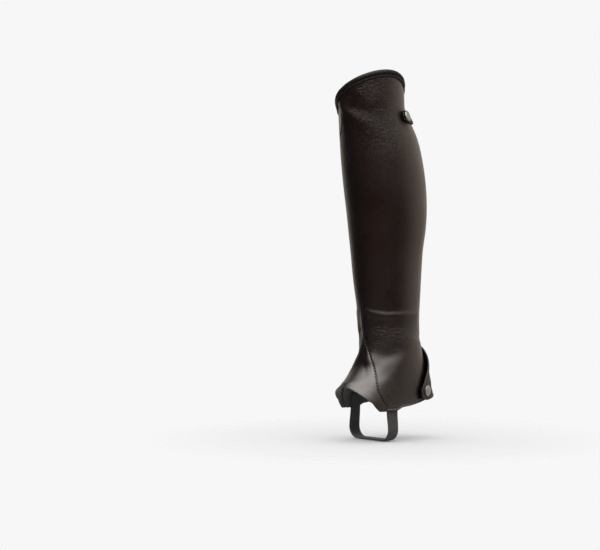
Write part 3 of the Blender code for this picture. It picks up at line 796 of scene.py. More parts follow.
# %% Wrap panel
LEATHER = 1.8                                 # mm thick
LIP_RISE, LIP_AT, LIP_WIDTH = 0.55, 1.8, 1.3  # of the hem's lip, in mm
LIP_FROM, LIP_TO = 66, 112                    # and its turns
CREASE_SHADE_WIDTH = 2.0                            # mm either side of the front crease that shade is painted on
# turn, height, half size in degrees and in millimetres, and how strongly shade is painted there
PAINTED_SHADE_SPOTS = [(104, 92, 10, 10, 1.0), (6, -208, 6, 9, 1.0), (60, -243, 24, 17, 0.25)]


def turned_edge(distance):
    """How much a turned and sewn edge raises the outer face."""
    return (0.35 * ease((TURNED - distance) / 1.5)
            - 0.4 * np.exp(-((distance - SEWN) / 0.75) ** 2))


away = from_front(wrap_turn)
raised = turned_edge(zip_distance) + np.where(away > SEAM_TURN + 2, turned_edge(foot_distance), 0)
raised = raised + (LIP_RISE * np.exp(-((foot_distance - LIP_AT) / LIP_WIDTH) ** 2)
                   * ease((away - LIP_FROM) / 4) * ease((LIP_TO - away) / 8))
# painted shade: down the front crease and at the spots above, the finish turns matt and mirrors
# nothing
dull = np.exp(-(line_distance(wrap_turn, wrap_height, FRONT_CREASE) / CREASE_SHADE_WIDTH) ** 2)
for at_turn, at_height, half_across, half_up, most in PAINTED_SHADE_SPOTS:
    dull = np.maximum(dull, most * np.exp(-(((wrap_turn - at_turn) / half_across) ** 2
                                            + ((wrap_height - at_height) / half_up) ** 2)))
half = LEATHER / 2
share = rounding(edge_distance, half)
wrap_panel = make_shell(
    "wrap_panel",
    leg_point(wrap_turn, wrap_height, half + share * (half + raised)),
    leg_point(wrap_turn, wrap_height, half - share * half),
    PANEL_LEATHER, FLESH, edge=1 - rounding(edge_distance, 2.2), dull=dull)
finish_piece(wrap_panel, "leather", "body_panel")

# %% [markdown]
# ## The instep gusset
# The gusset is a V of the same leather, cut soft, that bends with the foot. Its edges are cut raw
# and lie on the wrap panel, and one row of stitches close to the edge holds them. Its grid's lines
# follow the V, so the steps near an edge are stretched by how steep that edge runs.

# %% Grid of the gusset
GUSSET_OUT = LEATHER + 0.35      # mm from the form to its inner face, over the wrap panel
NEAR_STEPS = np.array([0, 0.12, 0.4, 0.8, 1.3, 1.7, 2.1, 2.6, 3.2, 4.0, 5.0, 6.2])
END_TURNS = np.array([69.35, 69.7, 70.1, 70.45, 70.7, 70.88])      # close to the lower corners


def degree_across(turn, height):
    """Millimetres in one degree of turn."""
    return np.linalg.norm(bare_leg(turn + 0.5, height) - bare_leg(turn - 0.5, height), axis=-1)


def edge_slope(line, turn, height):
    """How much longer a step across a sloping edge is when it is taken straight up."""
    return np.sqrt(1 + ((line(turn + 0.5) - line(turn - 0.5)) / degree_across(turn, height)) ** 2)


columns = np.sort(np.concatenate([-END_TURNS, np.linspace(-1, 1, 141) * SEAM_TURN, END_TURNS]))
gusset_rows = []
for turn in columns:
    foot, head = float(hem_line(turn)), float(seam_line(turn))
    low = NEAR_STEPS * edge_slope(hem_line, turn, foot)
    high = NEAR_STEPS * edge_slope(seam_line, turn, head)
    room = head - foot
    low, high = (side * min(1, 0.42 * room / side[-1]) for side in (low, high))
    middle = np.linspace(foot + low[-1], head - high[-1], 31)[1:-1]
    gusset_rows.append(np.concatenate([foot + low, middle, (head - high)[::-1]]))
gusset_height = np.array(gusset_rows)
gusset_turn = np.broadcast_to(columns[:, None], gusset_height.shape)
print("the gusset's grid is", " by ".join(str(count) for count in gusset_height.shape))

# %% [markdown]
# Past its lap the gusset sinks from the wrap panel's face to the boot. The thread pulls a groove
# into it and draws the edge up a little, and shade is painted on the strip of edge outside the
# stitches: it is matt and mirrors nothing, so the seam reads as a dark line.

# %% Gusset
GUSSET_LEATHER = 1.5             # mm thick
SEAM_SEWN = 1.7                  # mm from the raw edge to its stitches
SEAM_SHADE_WIDTH = 1.2                      # mm of the edge on which shade is painted
flat_grid = leg_point(gusset_turn, gusset_height, GUSSET_OUT)
distance = outline_distance(flat_grid, border(flat_grid))
below_seam = np.minimum(
    (seam_line(gusset_turn) - gusset_height) / edge_slope(seam_line, gusset_turn, gusset_height),
    (SEAM_TURN - from_front(gusset_turn)) * degree_across(gusset_turn, gusset_height))
above_hem = gusset_height - hem_line(gusset_turn)
settle = -0.9 * ease((below_seam - 6) / 8)
groove = np.exp(-((below_seam - SEAM_SEWN) / 0.85) ** 2)
sewn_edge = (0.15 * ease((7 - below_seam) / 2) - 0.5 * groove
             + 0.2 * ease((5.5 - above_hem) / 2))
half = GUSSET_LEATHER / 2
share = rounding(distance, half)
middle = GUSSET_OUT + settle + half
# painted shade on the strip of edge outside the stitches, which turns matt so the seam reads dark
gusset = make_shell(
    "instep_gusset_leather",
    leg_point(gusset_turn, gusset_height, middle + share * (half + sewn_edge)),
    leg_point(gusset_turn, gusset_height, middle - share * half),
    PANEL_LEATHER, FLESH, edge=(1 - rounding(distance, 1.8)) * (below_seam > 4),
    dull=ease(SEAM_SHADE_WIDTH - below_seam))
finish_piece(gusset, "leather", "instep_gusset")

# %% [markdown]
# ## The binding
# A strip of thinner leather is sewn face down along the top, rolled over the raw edge and sewn
# again from inside. That leaves a plump roll, with a dark line below it where it tucks in. Here
# its cross-section is a path over the edge, carried round the leg.

# %% Section of the binding
# out from the panel's inner face, and rise above its edge, in millimetres
ROLL_OUTER = [(2.5, -7.4), (2.95, -7.35), (3.3, -6.9), (3.4, -6.2), (3.35, -5.4), (3.1, -4.6),
              (2.95, -4.1), (3.1, -3.6), (3.6, -2.9), (3.95, -2.0), (4.1, -0.9), (3.8, 0.5),
              (3.0, 1.8), (1.9, 2.6), (0.9, 2.85), (-0.1, 2.6), (-1.1, 1.8), (-1.8, 0.5),
              (-2.15, -1.0), (-2.3, -2.4), (-2.25, -3.6), (-2.05, -4.8), (-1.75, -5.9),
              (-1.3, -6.8), (-0.6, -7.2)]
ROLL_INNER = [(2.5, -7.4), (2.4, -7.2), (2.35, -6.8), (2.3, -6.2), (2.3, -5.4), (2.3, -4.6),
              (2.3, -4.1), (2.3, -3.6), (2.3, -2.9), (2.3, -2.0), (2.3, -1.0), (2.25, 0.1),
              (2.0, 0.8), (1.5, 1.2), (0.9, 1.3), (0.3, 1.2), (-0.15, 0.8), (-0.35, 0.1),
              (-0.4, -1.0), (-0.4, -2.4), (-0.4, -3.6), (-0.4, -4.8), (-0.4, -5.9),
              (-0.45, -6.8), (-0.6, -7.2)]
print("the roll's section has", len(ROLL_OUTER), "points on either face")

# %% [markdown]
# The section is set at many turns round the top edge. Its outer face swells and shrinks a little
# along the way, as sewing pulls on it, and at both ends the roll is closed.

# %% Binding
BINDING_RUN = 345.0              # mm, a little over its length, to space its steps


def roll_points(turn, section, swell):
    """The section carried along the top edge. Swell moves its outer face in and out."""
    grid_turn = np.broadcast_to(turn[:, None], (len(turn), len(section)))
    out, rise = np.array(section).T
    longer = edge_slope(top_edge, grid_turn, top_edge(grid_turn))
    middle = LEATHER / 2
    out = middle + (out - middle) * swell[:, None]
    return leg_point(grid_turn, top_edge(grid_turn) + rise * np.where(rise < 0, longer, 1), out)


steps = edged(BINDING_RUN, 2.0)
binding_end = float(back_turn(top_edge(180.0), SLIT))
turn = (steps * 2 - 1) * binding_end
along = steps * BINDING_RUN
swell = 1 + 0.03 * np.sin(along / 3.1 + 1.3 * np.sin(along / 17)) * ease(along / 20)
close = rounding(np.minimum(steps, 1 - steps) * BINDING_RUN, 1.2)
outer = roll_points(turn, ROLL_OUTER, swell)
inner = roll_points(turn, ROLL_INNER, np.ones_like(swell))
outer = inner + (outer - inner) * close[:, None, None]
binding = make_shell("rolled_binding", outer, inner, SOFT_LEATHER, SOFT_LEATHER)
finish_piece(binding, "leather", "top_binding")

# %% [markdown]
# ## Tabs over the zip
# The small tab above locks the slider, and the broad flap at the heel keeps the boot's heel from
# wearing the zip. Both are stitched all round and end in a half circle under their snap. A tab is
# drawn by a table of stations from its sewn end to its round end, because its two edges bend in
# different ways as they go round the leg.

# %% Stations of the tabs
# the turn, the heights of the lower and upper edge, and how far it stands off the leather
TOP_TAB = [(208, 74.5, 91.0, 0.0), (200, 76.0, 92.8, 0.3), (190, 77.5, 94.5, 0.6),
           (180, 78.8, 95.8, 0.8), (168, 80.4, 97.4, 0.9), (155, 81.9, 98.9, 0.9),
           (141, 83.3, 100.3, 0.9), (128, 84.3, 101.5, 0.9), (117, 84.9, 102.1, 0.9),
           (110, 85.7, 101.5, 0.9), (105, 87.7, 99.6, 0.9), (102, 90.4, 96.9, 0.9)]
HEEL_FLAP = [(214, -288.0, -203.0, 0.0), (206, -288.5, -206.0, 0.2), (198, -289.0, -209.5, 0.5),
             (189, -289.5, -213.5, 0.9), (180, -290.0, -217.5, 1.3), (170, -290.3, -222.5, 1.6),
             (160, -290.6, -228.5, 1.8), (150, -290.9, -235.0, 1.9), (140, -291.2, -241.5, 1.9),
             (132, -291.8, -248.0, 1.9), (125, -292.5, -254.0, 1.8), (118.5, -293.2, -260.0, 1.7),
             (113, -293.0, -266.0, 1.6), (108.5, -292.0, -272.0, 1.6),
             (105.5, -289.6, -277.0, 1.6), (104, -286.2, -281.5, 1.6)]
TAB_FIXED = 208                  # degrees, where a tab is sewn down
print("stations of the top tab", len(TOP_TAB), "and of the heel flap", len(HEEL_FLAP))

# %% [markdown]
# Beyond its sewn end a tab's free edges curl off the leather a little. The stitches pull a groove
# along its edge. Shade is painted on the round end of the top tab: it has no worn edge tone and no
# shine, so it stays dark.

# %% Tabs
TAB_LEATHER, FLAP_LEATHER = 1.6, 2.2          # mm thick
CLEAR = 0.3                                   # mm left free between two pieces
TAB_SEWN = 2.4                                # mm from a tab's edge to its stitches
CURLED = 14                                   # mm of its edge that curls
SHADED_END_TURN = 116                            # degrees, where the round end painted in shade begins


def make_tab(name, stations, thickness, length, width, curl, shaded_end):
    """A tab with round edges. Curl lifts its free edges, and the last argument is how much shade is
    painted on its round end. Also gives its outline, as turns, heights and the height of its face."""
    table = np.array(stations[::-1], float)
    smooth = np.array([smooth_path(table[:, (0, column)])[:, 1] for column in (1, 2, 3)]).T
    turns = smooth_path(table[:, (0, 1)])[:, 0]
    run = np.append(0, np.cumsum(np.hypot(np.diff(turns) * math.radians(REACH),
                                          np.diff(smooth[:, 1]))))
    along = edged(length, 1.6) * run[-1]
    low, high, lift = (np.interp(along, run, smooth[:, at])[:, None] for at in range(3))
    height = low + (high - low) * edged(width, 1.6)[None]
    turn = np.broadcast_to(np.interp(along, run, turns)[:, None], height.shape)
    out = LEATHER + CLEAR + np.broadcast_to(lift, height.shape)
    grid = leg_point(turn, height, out)
    distance = outline_distance(grid, border(grid))
    half = thickness / 2
    share = rounding(distance, half)
    sewn = 0.12 * ease((distance - 3.4) / 2) - 0.45 * np.exp(-((distance - TAB_SEWN) / 0.75) ** 2)
    free = ease((TAB_FIXED - turn) / 60)
    middle = out + half + curl * ease((CURLED - distance) / CURLED) * free
    face = out + thickness + curl * ease((CURLED - TAB_SEWN) / CURLED) * free
    # painted shade on the round end: matt, and without its edge tone
    dull = shaded_end * ease((SHADED_END_TURN - turn) / 5)
    made = make_shell(name, leg_point(turn, height, middle + share * (half + sewn)),
                      leg_point(turn, height, middle - share * half), TAB_HIDE, TAB_HIDE,
                      edge=(0.3 - 0.3 * rounding(distance, 2.0)) * (1 - dull), dull=dull)
    return made, border(np.stack([turn, height, face], axis=-1))


top_tab, top_outline = make_tab("top_tab_leather", TOP_TAB, TAB_LEATHER, 86, 17, 0.4, 1.0)
heel_flap, heel_outline = make_tab("heel_flap_leather", HEEL_FLAP, FLAP_LEATHER, 100, 60, 2.2, 0.0)
finish_piece(top_tab, "leather", "top_tab")
finish_piece(heel_flap, "leather", "heel_flap")

# %% [markdown]
# ## The zip
# Two woven tapes are sewn inside the leather, and each has a thick cord along its near edge. They
# are thin shells on the form, as the leather is, with their weave on the UV map.

# %% Zip tapes
TAPE_OUT = -1.15                 # the tape's middle, from the leather's inner face
TAPE_HALF = 0.45                 # half its thickness
TAPE_LENGTH, TAPE_NEAR, TAPE_FAR = 388, 2.0, 16.0
ZIP_FOOT, ZIP_TOP = float(hem_line(180)), float(top_edge(180)) - 12
CORD_AT, CORD_RISE = 2.9, 0.35   # the thick edge of the tape, from the middle of the zip
zip_height = blend(ZIP_FOOT, ZIP_TOP, edged(TAPE_LENGTH, 3.0, THIN_STEPS, THIN_STEPS))


def make_tape(name, near_edge, far_edge):
    """A tape between two distances aside from the middle of the zip."""
    across = edged(abs(far_edge - near_edge), 1.6, THIN_STEPS, THIN_STEPS)
    aside = blend(near_edge, far_edge, across)[:, None]
    height = np.broadcast_to(zip_height, (len(across), len(zip_height)))
    turn = back_turn(height, np.broadcast_to(aside, height.shape))
    grid = leg_point(turn, height, TAPE_OUT)
    distance = outline_distance(grid, border(grid))
    share = rounding(distance, TAPE_HALF)
    thick = share * (TAPE_HALF + CORD_RISE * np.exp(-((np.abs(aside) - CORD_AT) / 0.8) ** 2))
    return make_shell(name, leg_point(turn, height, TAPE_OUT + thick),
                      leg_point(turn, height, TAPE_OUT - thick), ZIP_CLOTH)


tape_outer = make_tape("woven_tape_outer", TAPE_FAR, TAPE_NEAR)
tape_inner = make_tape("woven_tape_inner", -TAPE_NEAR, -TAPE_FAR)
finish_piece(tape_outer, "zip_tape", "zip_tape_outer")
finish_piece(tape_inner, "zip_tape", "zip_tape_inner")

# %% [markdown]
# ## Modelling as by hand
# The hard pieces start from a primitive that is shaped in edit mode. An operator acts on all that
# is selected, so each helper clears the selection and picks its own faces by their place. Sizes
# are in millimetres.

# %% Picking and moving faces
def select_only(*objects):
    """Selects these objects alone, in object mode, and makes the first one active."""
    if bpy.context.mode != "OBJECT":
        bpy.ops.object.mode_set(mode="OBJECT")
    bpy.ops.object.select_all(action="DESELECT")
    for made in objects:
        made.select_set(True)
    if objects:
        bpy.context.view_layer.objects.active = objects[0]


def start_shape(name, kind, **sizes):
    """A primitive at the origin, its measures in millimetres, ready to be shaped."""
    select_only()
    getattr(bpy.ops.mesh, "primitive_%s_add" % kind)(
        **{key: value * MM if isinstance(value, float) else value
           for key, value in sizes.items()})
    made = bpy.context.object
    made.name = made.data.name = name
    return made


def pick_faces(made, test):
    """Selects in edit mode the faces whose middle, in millimetres, passes a test."""
    bpy.ops.object.mode_set(mode="EDIT")
    bpy.ops.mesh.select_mode(type="FACE")
    bpy.ops.mesh.select_all(action="DESELECT")
    work = bmesh.from_edit_mesh(made.data)
    for face in work.faces:
        face.select_set(test(face.calc_center_median() / MM))
    bmesh.update_edit_mesh(made.data)


def resize(x, y, z):
    bpy.ops.transform.resize(value=(x, y, z))


def move(x, y, z):
    bpy.ops.transform.translate(value=(x * MM, y * MM, z * MM))


def end_edit():
    bpy.ops.object.mode_set(mode="OBJECT")


print("helpers that pick, move and resize faces")

# %% [markdown]
# Bevels round the edges and booleans cut the windows and hollows. Both are modifiers, applied at
# once. A finished mesh is moved by its points, so that its object stays at the origin.

# %% Rounding and cutting
def apply_modifier(made, kind, **settings):
    select_only(made)
    modifier = made.modifiers.new(kind.lower(), kind)
    for key, value in settings.items():
        setattr(modifier, key, value)
    bpy.ops.object.modifier_apply(modifier=modifier.name)


def shift(made, x, y, z):
    """Moves a mesh's points by millimetres."""
    made.data.transform(Matrix.Translation(Vector((x, y, z)) * MM))


def round_edges(made, width, segments, **settings):
    apply_modifier(made, "BEVEL", width=width * MM, segments=segments, **settings)


def cut_out(made, tool):
    """Takes one shape out of another."""
    apply_modifier(made, "BOOLEAN", operation="DIFFERENCE", solver="EXACT", object=tool)
    bpy.data.objects.remove(tool)


def smooth_below(made, degrees):
    """Smooth shading, but for edges sharper than an angle."""
    select_only(made)
    bpy.ops.object.shade_smooth_by_angle(angle=math.radians(degrees))


def block(name, x, y, z):
    """A block of x by y by z millimetres about the origin."""
    made = start_shape(name, "cube", size=1.0)
    pick_faces(made, lambda middle: True)
    resize(x, y, z)
    end_edit()
    return made


print("helpers that round, cut, shade and shift")

# %% [markdown]
# ## The chain
# The teeth are moulded on the tapes' edges. A tooth is modelled once, from a block with its head
# pinched and its corners rounded, and copied along both tapes, each copy half a step behind its
# neighbour so that they mesh.

# %% Tooth
def sort_faces(made):
    """Puts a mesh's faces in a fixed order, because an extrusion's own order changes."""
    corners = [tuple(face.vertices) for face in made.data.polygons]
    corners = sorted(min(face[at:] + face[:at] for at in range(len(face))) for face in corners)
    points = [tuple(vertex.co) for vertex in made.data.vertices]
    made.data.clear_geometry()
    made.data.from_pydata(points, [], corners)


tooth = block("tooth", 3.0, 1.25, 2.7)             # across the chain, along it, and through
pick_faces(tooth, lambda middle: middle.x < -1.2)
resize(1, 0.82, 0.7)
bpy.ops.mesh.extrude_region_move(TRANSFORM_OT_translate={"value": (-0.7 * MM, 0, 0)})
resize(1, 0.6, 0.75)
end_edit()
round_edges(tooth, 0.22, 1, limit_method="NONE")
sort_faces(tooth)
print("tooth", len(tooth.data.polygons), "faces")

# %% Copies along a path
def mesh_points(made):
    """A mesh's points in millimetres."""
    points = np.empty(len(made.data.vertices) * 3)
    made.data.vertices.foreach_get("co", points)
    return points.reshape(-1, 3) / MM


def copies(name, made, frames, material):
    """One piece that holds a copy of a shape in each frame: a place, and its x, y and z axes."""
    shape = mesh_points(made)
    faces = [tuple(face.vertices) for face in made.data.polygons]
    points, all_faces = [], []
    for place, axes in frames:
        all_faces += [tuple(at + len(points) * len(shape) for at in face) for face in faces]
        points.append(place + shape @ np.asarray(axes))
    bpy.data.objects.remove(made)
    piece = new_object(name, np.concatenate(points), all_faces, material)
    print(name, len(frames), "copies,", len(all_faces), "faces")
    return piece


def path_frames(points, normals, spacing, start=0.5):
    """Places along a path with their axes: along it, across it and out of it."""
    length = np.append(0, np.cumsum(np.linalg.norm(np.diff(points, axis=0), axis=-1)))
    frames = []
    for at in np.arange(spacing * start, length[-1], spacing):
        place, ahead, behind, out = (
            np.array([np.interp(where, length, source[:, axis]) for axis in range(3)])
            for where, source in ((at, points), (at + 0.3, points), (at - 0.3, points),
                                  (at, normals)))
        along = (ahead - behind) / np.linalg.norm(ahead - behind)
        out = out - along * (out @ along)
        out /= np.linalg.norm(out)
        frames.append((place, along, np.cross(out, along), out))
    return frames


print("a tooth has", len(mesh_points(tooth)), "points")

# %% Chain of teeth
TOOTH_STEP = 1.45                # mm, half of the spacing on one tape
TOOTH_ASIDE = 1.75               # mm, a tooth's middle from the middle of the zip
CHAIN_TOP = 98.7
chain_height = np.linspace(ZIP_FOOT + 1.5, CHAIN_TOP, 200)
chain_turn = np.full_like(chain_height, 180.0)
tooth_frames = []
for number, (place, along, across, out) in enumerate(path_frames(
        leg_point(chain_turn, chain_height, -0.1), leg_normal(chain_turn, chain_height),
        TOOTH_STEP)):
    side = 1 if number % 2 else -1
    axis = across * side
    tooth_frames.append((place + axis * TOOTH_ASIDE, (axis, along * side, out)))
teeth = copies("zip_teeth", tooth, tooth_frames, ACETAL)
for face in teeth.data.polygons:
    face.use_smooth = False
finish_piece(teeth, "zip_teeth", "zip_chain")

# %% [markdown]
# ## The slider
# The slider is a die casting: a plate over the teeth, wider where the tapes part, a second plate
# under them, a neck that parts them, and a bridge on top for the pull. It is shaped flat, with X
# across the zip, Y up along it and Z out of the leather, and then laid on the zip by one matrix.

# %% Slider
SLIDER_MIDDLE = 106.0            # its height on the zip
PLATE_TOP, BRIDGE_TOP = 4.6, 9.15        # mm out from the form
MEETING = 0.00002                # m, points closer than this are one


def zip_matrix(height):
    out = Vector(leg_normal(180.0, height))
    across = Vector((-1, 0, 0))
    turned = Matrix((across, out.cross(across), out)).transposed()
    return Matrix.Translation(Vector(leg_point(180.0, height)) * MM) @ turned.to_4x4()


def join(name, *parts):
    select_only(*parts)
    bpy.ops.object.join()
    parts[0].name = parts[0].data.name = name
    return parts[0]


plate = block("slider_plate", 10.5, 14.0, 2.6)
pick_faces(plate, lambda middle: middle.y < -6.9)
resize(0.74, 1, 1)
bpy.ops.mesh.extrude_region_move(TRANSFORM_OT_translate={"value": (0, 0.001 * MM, 0)})
end_edit()
pick_faces(plate, lambda middle: middle.z > 1.2)
bpy.ops.mesh.inset(thickness=1.3 * MM)
move(0, 0, 0.35)
end_edit()
apply_modifier(plate, "WELD", merge_threshold=MEETING)
round_edges(plate, 0.5, 3)
shift(plate, 0, 0, PLATE_TOP - 1.65)
under = block("slider_under", 9.6, 13.0, 0.9)
pick_faces(under, lambda middle: middle.y < -6.4)
resize(0.76, 1, 1)
end_edit()
round_edges(under, 0.3, 2)
shift(under, 0, 0, -2.9)
neck = start_shape("slider_neck", "cylinder", vertices=24, radius=1.2, depth=5.6)
pick_faces(neck, lambda middle: True)
resize(1, 1.5, 1)
move(0, 4.6, 0)
end_edit()
print("plates", len(plate.data.polygons), "and", len(under.data.polygons), "faces")

# %% Bridge
bridge_height = BRIDGE_TOP - PLATE_TOP + 1
bridge = block("slider_bridge", 3.0, 11.0, bridge_height)
tunnel = block("tunnel", 6.0, 7.8, bridge_height - 1.6)
shift(tunnel, 0, 0, -0.8)
cut_out(bridge, tunnel)
round_edges(bridge, 0.4, 3)
shift(bridge, 0, 0, BRIDGE_TOP - bridge_height / 2)
slider = join("cast_slider", plate, under, neck, bridge)
slider.data.transform(zip_matrix(SLIDER_MIDDLE))
slider.data.materials.append(DARK_NICKEL)
smooth_below(slider, 35)
finish_piece(slider, "zip_metal", "zip_slider")
print("slider", len(slider.data.polygons), "faces")

# %% [markdown]
# ## The pull
# The pull is a tapered bar with a window at its upper end and a shallow panel on each face. It
# hangs in the bridge by the bar of its window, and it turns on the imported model's own joint, so
# the middle of that bar is put exactly there.

# %% Pull
PULL_LENGTH, PULL_THICK, BAR = 21.0, 1.5, 0.75            # mm, to the bar's middle, and its half
PULL_LEAN = math.radians(31.5)                            # from upright, as it hangs at rest
pull = block("cast_pull", 8.6, PULL_LENGTH + BAR, PULL_THICK)
pick_faces(pull, lambda middle: middle.y < -10)
resize(0.7, 1, 1)
end_edit()
window = block("pull_window", 5.6, 7.25, 4.0)
pick_faces(window, lambda middle: middle.y < -3)
resize(0.86, 1, 1)
end_edit()
shift(window, 0, 5.5, 0)
cut_out(pull, window)
for face_side in (1, -1):
    hollow = block("pull_hollow", 4.2, 8.0, 1.0)
    pick_faces(hollow, lambda middle: middle.y < -3.5)
    resize(0.88, 1, 1)
    end_edit()
    shift(hollow, 0, -4.6, face_side * 1.02)
    cut_out(pull, hollow)
round_edges(pull, 0.35, 3)
shift(pull, 0, -(PULL_LENGTH + BAR) / 2 + BAR, 0)         # the bar's middle to the origin
up, across = Vector((0, -math.sin(PULL_LEAN), math.cos(PULL_LEAN))), Vector((-1, 0, 0))
turned = Matrix((across, up, across.cross(up))).transposed().to_4x4()
joint = next(joint for joint in frame["joints"] if joint["name"] == "pull_swing")
pull.data.transform(Matrix.Translation(Vector(joint["pos_m"])) @ turned)
pull.data.materials.append(DARK_NICKEL)
smooth_below(pull, 35)
finish_piece(pull, "zip_metal", "zip_pull", body="pull")
print("pull bar at", joint["pos_m"])

# %% [markdown]
# ## Snaps
# A snap's cap is pressed from thin sheet and its rim is rolled under. A cylinder becomes one when
# its top face is inset again and again, and raised a little less each time. The studs that hold
# the caps from inside keep their solids, and get the same plating.

# %% Snap caps
TOP_SNAP, HEEL_SNAP = (117.0, 93.6), (117.0, -280.6)      # turn and height
CAP_RADIUS, RIM = 7.5, 0.9
CROWN = ((0.35, 0.3), (0.5, 0.3), (1.2, 0.42), (1.6, 0.36), (1.8, 0.2))     # inset, rise


def make_cap(name, place, out):
    """A cap on the leather. Out is how far its rim lies from the form."""
    cap = start_shape(name, "cylinder", vertices=64, radius=CAP_RADIUS, depth=RIM)
    pick_faces(cap, lambda middle: middle.z > 0.4)
    for inset, rise in CROWN:
        bpy.ops.mesh.inset(thickness=inset * MM)
        move(0, 0, rise)
    bpy.ops.mesh.inset(thickness=1.2 * MM)
    bpy.ops.mesh.poke()
    end_edit()
    pick_faces(cap, lambda middle: middle.z < -0.4)
    bpy.ops.mesh.inset(thickness=0.4 * MM)
    bpy.ops.mesh.poke()
    end_edit()
    shift(cap, 0, 0, RIM / 2)
    turn = Vector((0, 0, 1)).rotation_difference(Vector(leg_normal(*place)))
    cap.data.transform(Matrix.Translation(Vector(leg_point(*place, out)) * MM)
                       @ turn.to_matrix().to_4x4())
    cap.data.materials.append(PEWTER)
    smooth_below(cap, 40)
    return cap


# each lies on its tab, which itself stands off the panel
top_cap = make_cap("top_snap_cap", TOP_SNAP, LEATHER + CLEAR + 0.9 + TAB_LEATHER + 0.4)
heel_cap = make_cap("heel_snap_cap", HEEL_SNAP, LEATHER + CLEAR + 1.3 + FLAP_LEATHER + 1.6)
finish_piece(top_cap, "snap_metal", "top_snap")
finish_piece(heel_cap, "snap_metal", "heel_snap")
for name in ("top_stud", "heel_stud"):
    frame["nodes"][name].data.materials.clear()
    frame["nodes"][name].data.materials.append(PEWTER)
print("caps at", TOP_SNAP, "and", HEEL_SNAP)

# %% [markdown]
# ## The elastic strap
# It is sewn behind the hem on both sides and passes under the arch of the boot. It is stretched a
# little when worn, so it runs straight down, round two easy corners and flat across.

# %% Middle line of the strap
STRAP_WIDTH, ELASTIC = 18.0, 1.6         # mm, its width and its thickness
STRAP_TOP, STRAP_BOTTOM, STRAP_MIDDLE = -286.0, -345.0, -18.3      # heights, and its place along Y
HALF_SPAN, CORNER = 40.0, 14.0
SEWN_PART = STRAP_TOP - ARCH_HEM         # the lengths of its four parts, on either side
STRAIGHT_PART = ARCH_HEM - STRAP_BOTTOM - CORNER
CORNER_PART, FLAT_PART = math.pi / 2 * CORNER, HALF_SPAN - CORNER


def strap_middle(run, forward):
    """The strap's middle line on the outer side, by its length from the sewn end: its distance
    aside and its height, with the angle that its outer face looks down at."""
    wall_height = min(max(STRAP_TOP - run, ARCH_HEM), STRAP_TOP)
    ahead = (ring_value(wall_height, LEAN) - forward) / ring_value(wall_height, FRONT)
    wall = ring_value(wall_height, HALF_WIDTH) * math.sqrt(1 - ahead ** 2) - CLEAR - ELASTIC / 2
    if run < SEWN_PART:
        return wall, STRAP_TOP - run, 0.0
    if run < SEWN_PART + STRAIGHT_PART:
        part = (run - SEWN_PART) / STRAIGHT_PART
        return blend(wall, HALF_SPAN + ELASTIC / 2, ease(part)), STRAP_TOP - run, 0.0
    if run < SEWN_PART + STRAIGHT_PART + CORNER_PART:
        angle = (run - SEWN_PART - STRAIGHT_PART) / CORNER
        radius = CORNER + ELASTIC / 2
        return (FLAT_PART + radius * math.cos(angle),
                STRAP_BOTTOM + CORNER - radius * math.sin(angle), angle)
    return (FLAT_PART - (run - SEWN_PART - STRAIGHT_PART - CORNER_PART),
            STRAP_BOTTOM - ELASTIC / 2, math.pi / 2)


strap_half = STRAP_TOP - STRAP_BOTTOM - CORNER + CORNER_PART + FLAT_PART
print("the strap is", round(2 * strap_half), "mm long")

# %% Strap
steps = edged(2 * strap_half, 1.5, THIN_STEPS, THIN_STEPS)
side_steps = edged(STRAP_WIDTH, 1.2, THIN_STEPS, THIN_STEPS)
outer, inner = (np.empty((len(steps), len(side_steps), 3)) for _ in range(2))
for i, step in enumerate(steps):
    run = strap_half * (1 - abs(1 - 2 * step))
    sign = 1 if step < 0.5 else -1
    for j, across in enumerate(side_steps):
        forward = STRAP_MIDDLE + STRAP_WIDTH * (across - 0.5)
        aside, height, angle = strap_middle(run, forward)
        from_edge = min(step * 2 * strap_half, (1 - step) * 2 * strap_half,
                        across * STRAP_WIDTH, (1 - across) * STRAP_WIDTH)
        thick = ELASTIC / 2 * float(rounding(from_edge, ELASTIC / 2))
        out = np.array((sign * math.cos(angle), 0, -math.sin(angle)))
        middle = np.array((sign * aside, forward, height))
        outer[i, j], inner[i, j] = middle + out * thick, middle - out * thick
strap = make_shell("arch_strap", outer[:, ::-1], inner[:, ::-1], ELASTIC_CLOTH)
work = bmesh.new()
work.from_mesh(strap.data)
bmesh.ops.recalc_face_normals(work, faces=work.faces)
work.to_mesh(strap.data)
work.free()
finish_piece(strap, "elastic", "arch_elastic")

# %% [markdown]
# ## Stitches
# A lockstitch shows as a row of short raised beads of thread with small gaps, where it dips into
# the leather. One stitch is a bead with six sides, and each row is a set of copies on a path. The
# leather already has its grooves: the thread lies in them.

# %% Stitch
THREAD_RADIUS = 0.65             # mm, thicker than life, so that the rows show


def stitch_shape(length, radius):
    """A bead of thread along X that dips at both ends."""
    stitch = start_shape("stitch", "cylinder", vertices=6, radius=radius, depth=length,
                         end_fill_type="NOTHING")
    bpy.ops.object.mode_set(mode="EDIT")
    bpy.ops.mesh.select_all(action="SELECT")
    bpy.ops.transform.rotate(value=math.pi / 2, orient_axis="Y", center_override=(0, 0, 0))
    bpy.ops.mesh.subdivide(number_cuts=3, quadcorner="STRAIGHT_CUT")
    end_edit()
    points = mesh_points(stitch)
    along = points[:, 0] / (length / 2)
    points[:, 1:] *= np.sqrt(np.clip(1.04 - along ** 2, 0.03, 1))[:, None]
    points[:, 2] += 0.2 - 0.5 * along ** 2
    stitch.data.vertices.foreach_set("co", (points * MM).ravel())
    pick_faces(stitch, lambda middle: True)
    bpy.ops.mesh.select_all(action="SELECT")
    bpy.ops.mesh.fill_holes(sides=0)
    bpy.ops.mesh.normals_make_consistent(inside=False)
    end_edit()
    return stitch


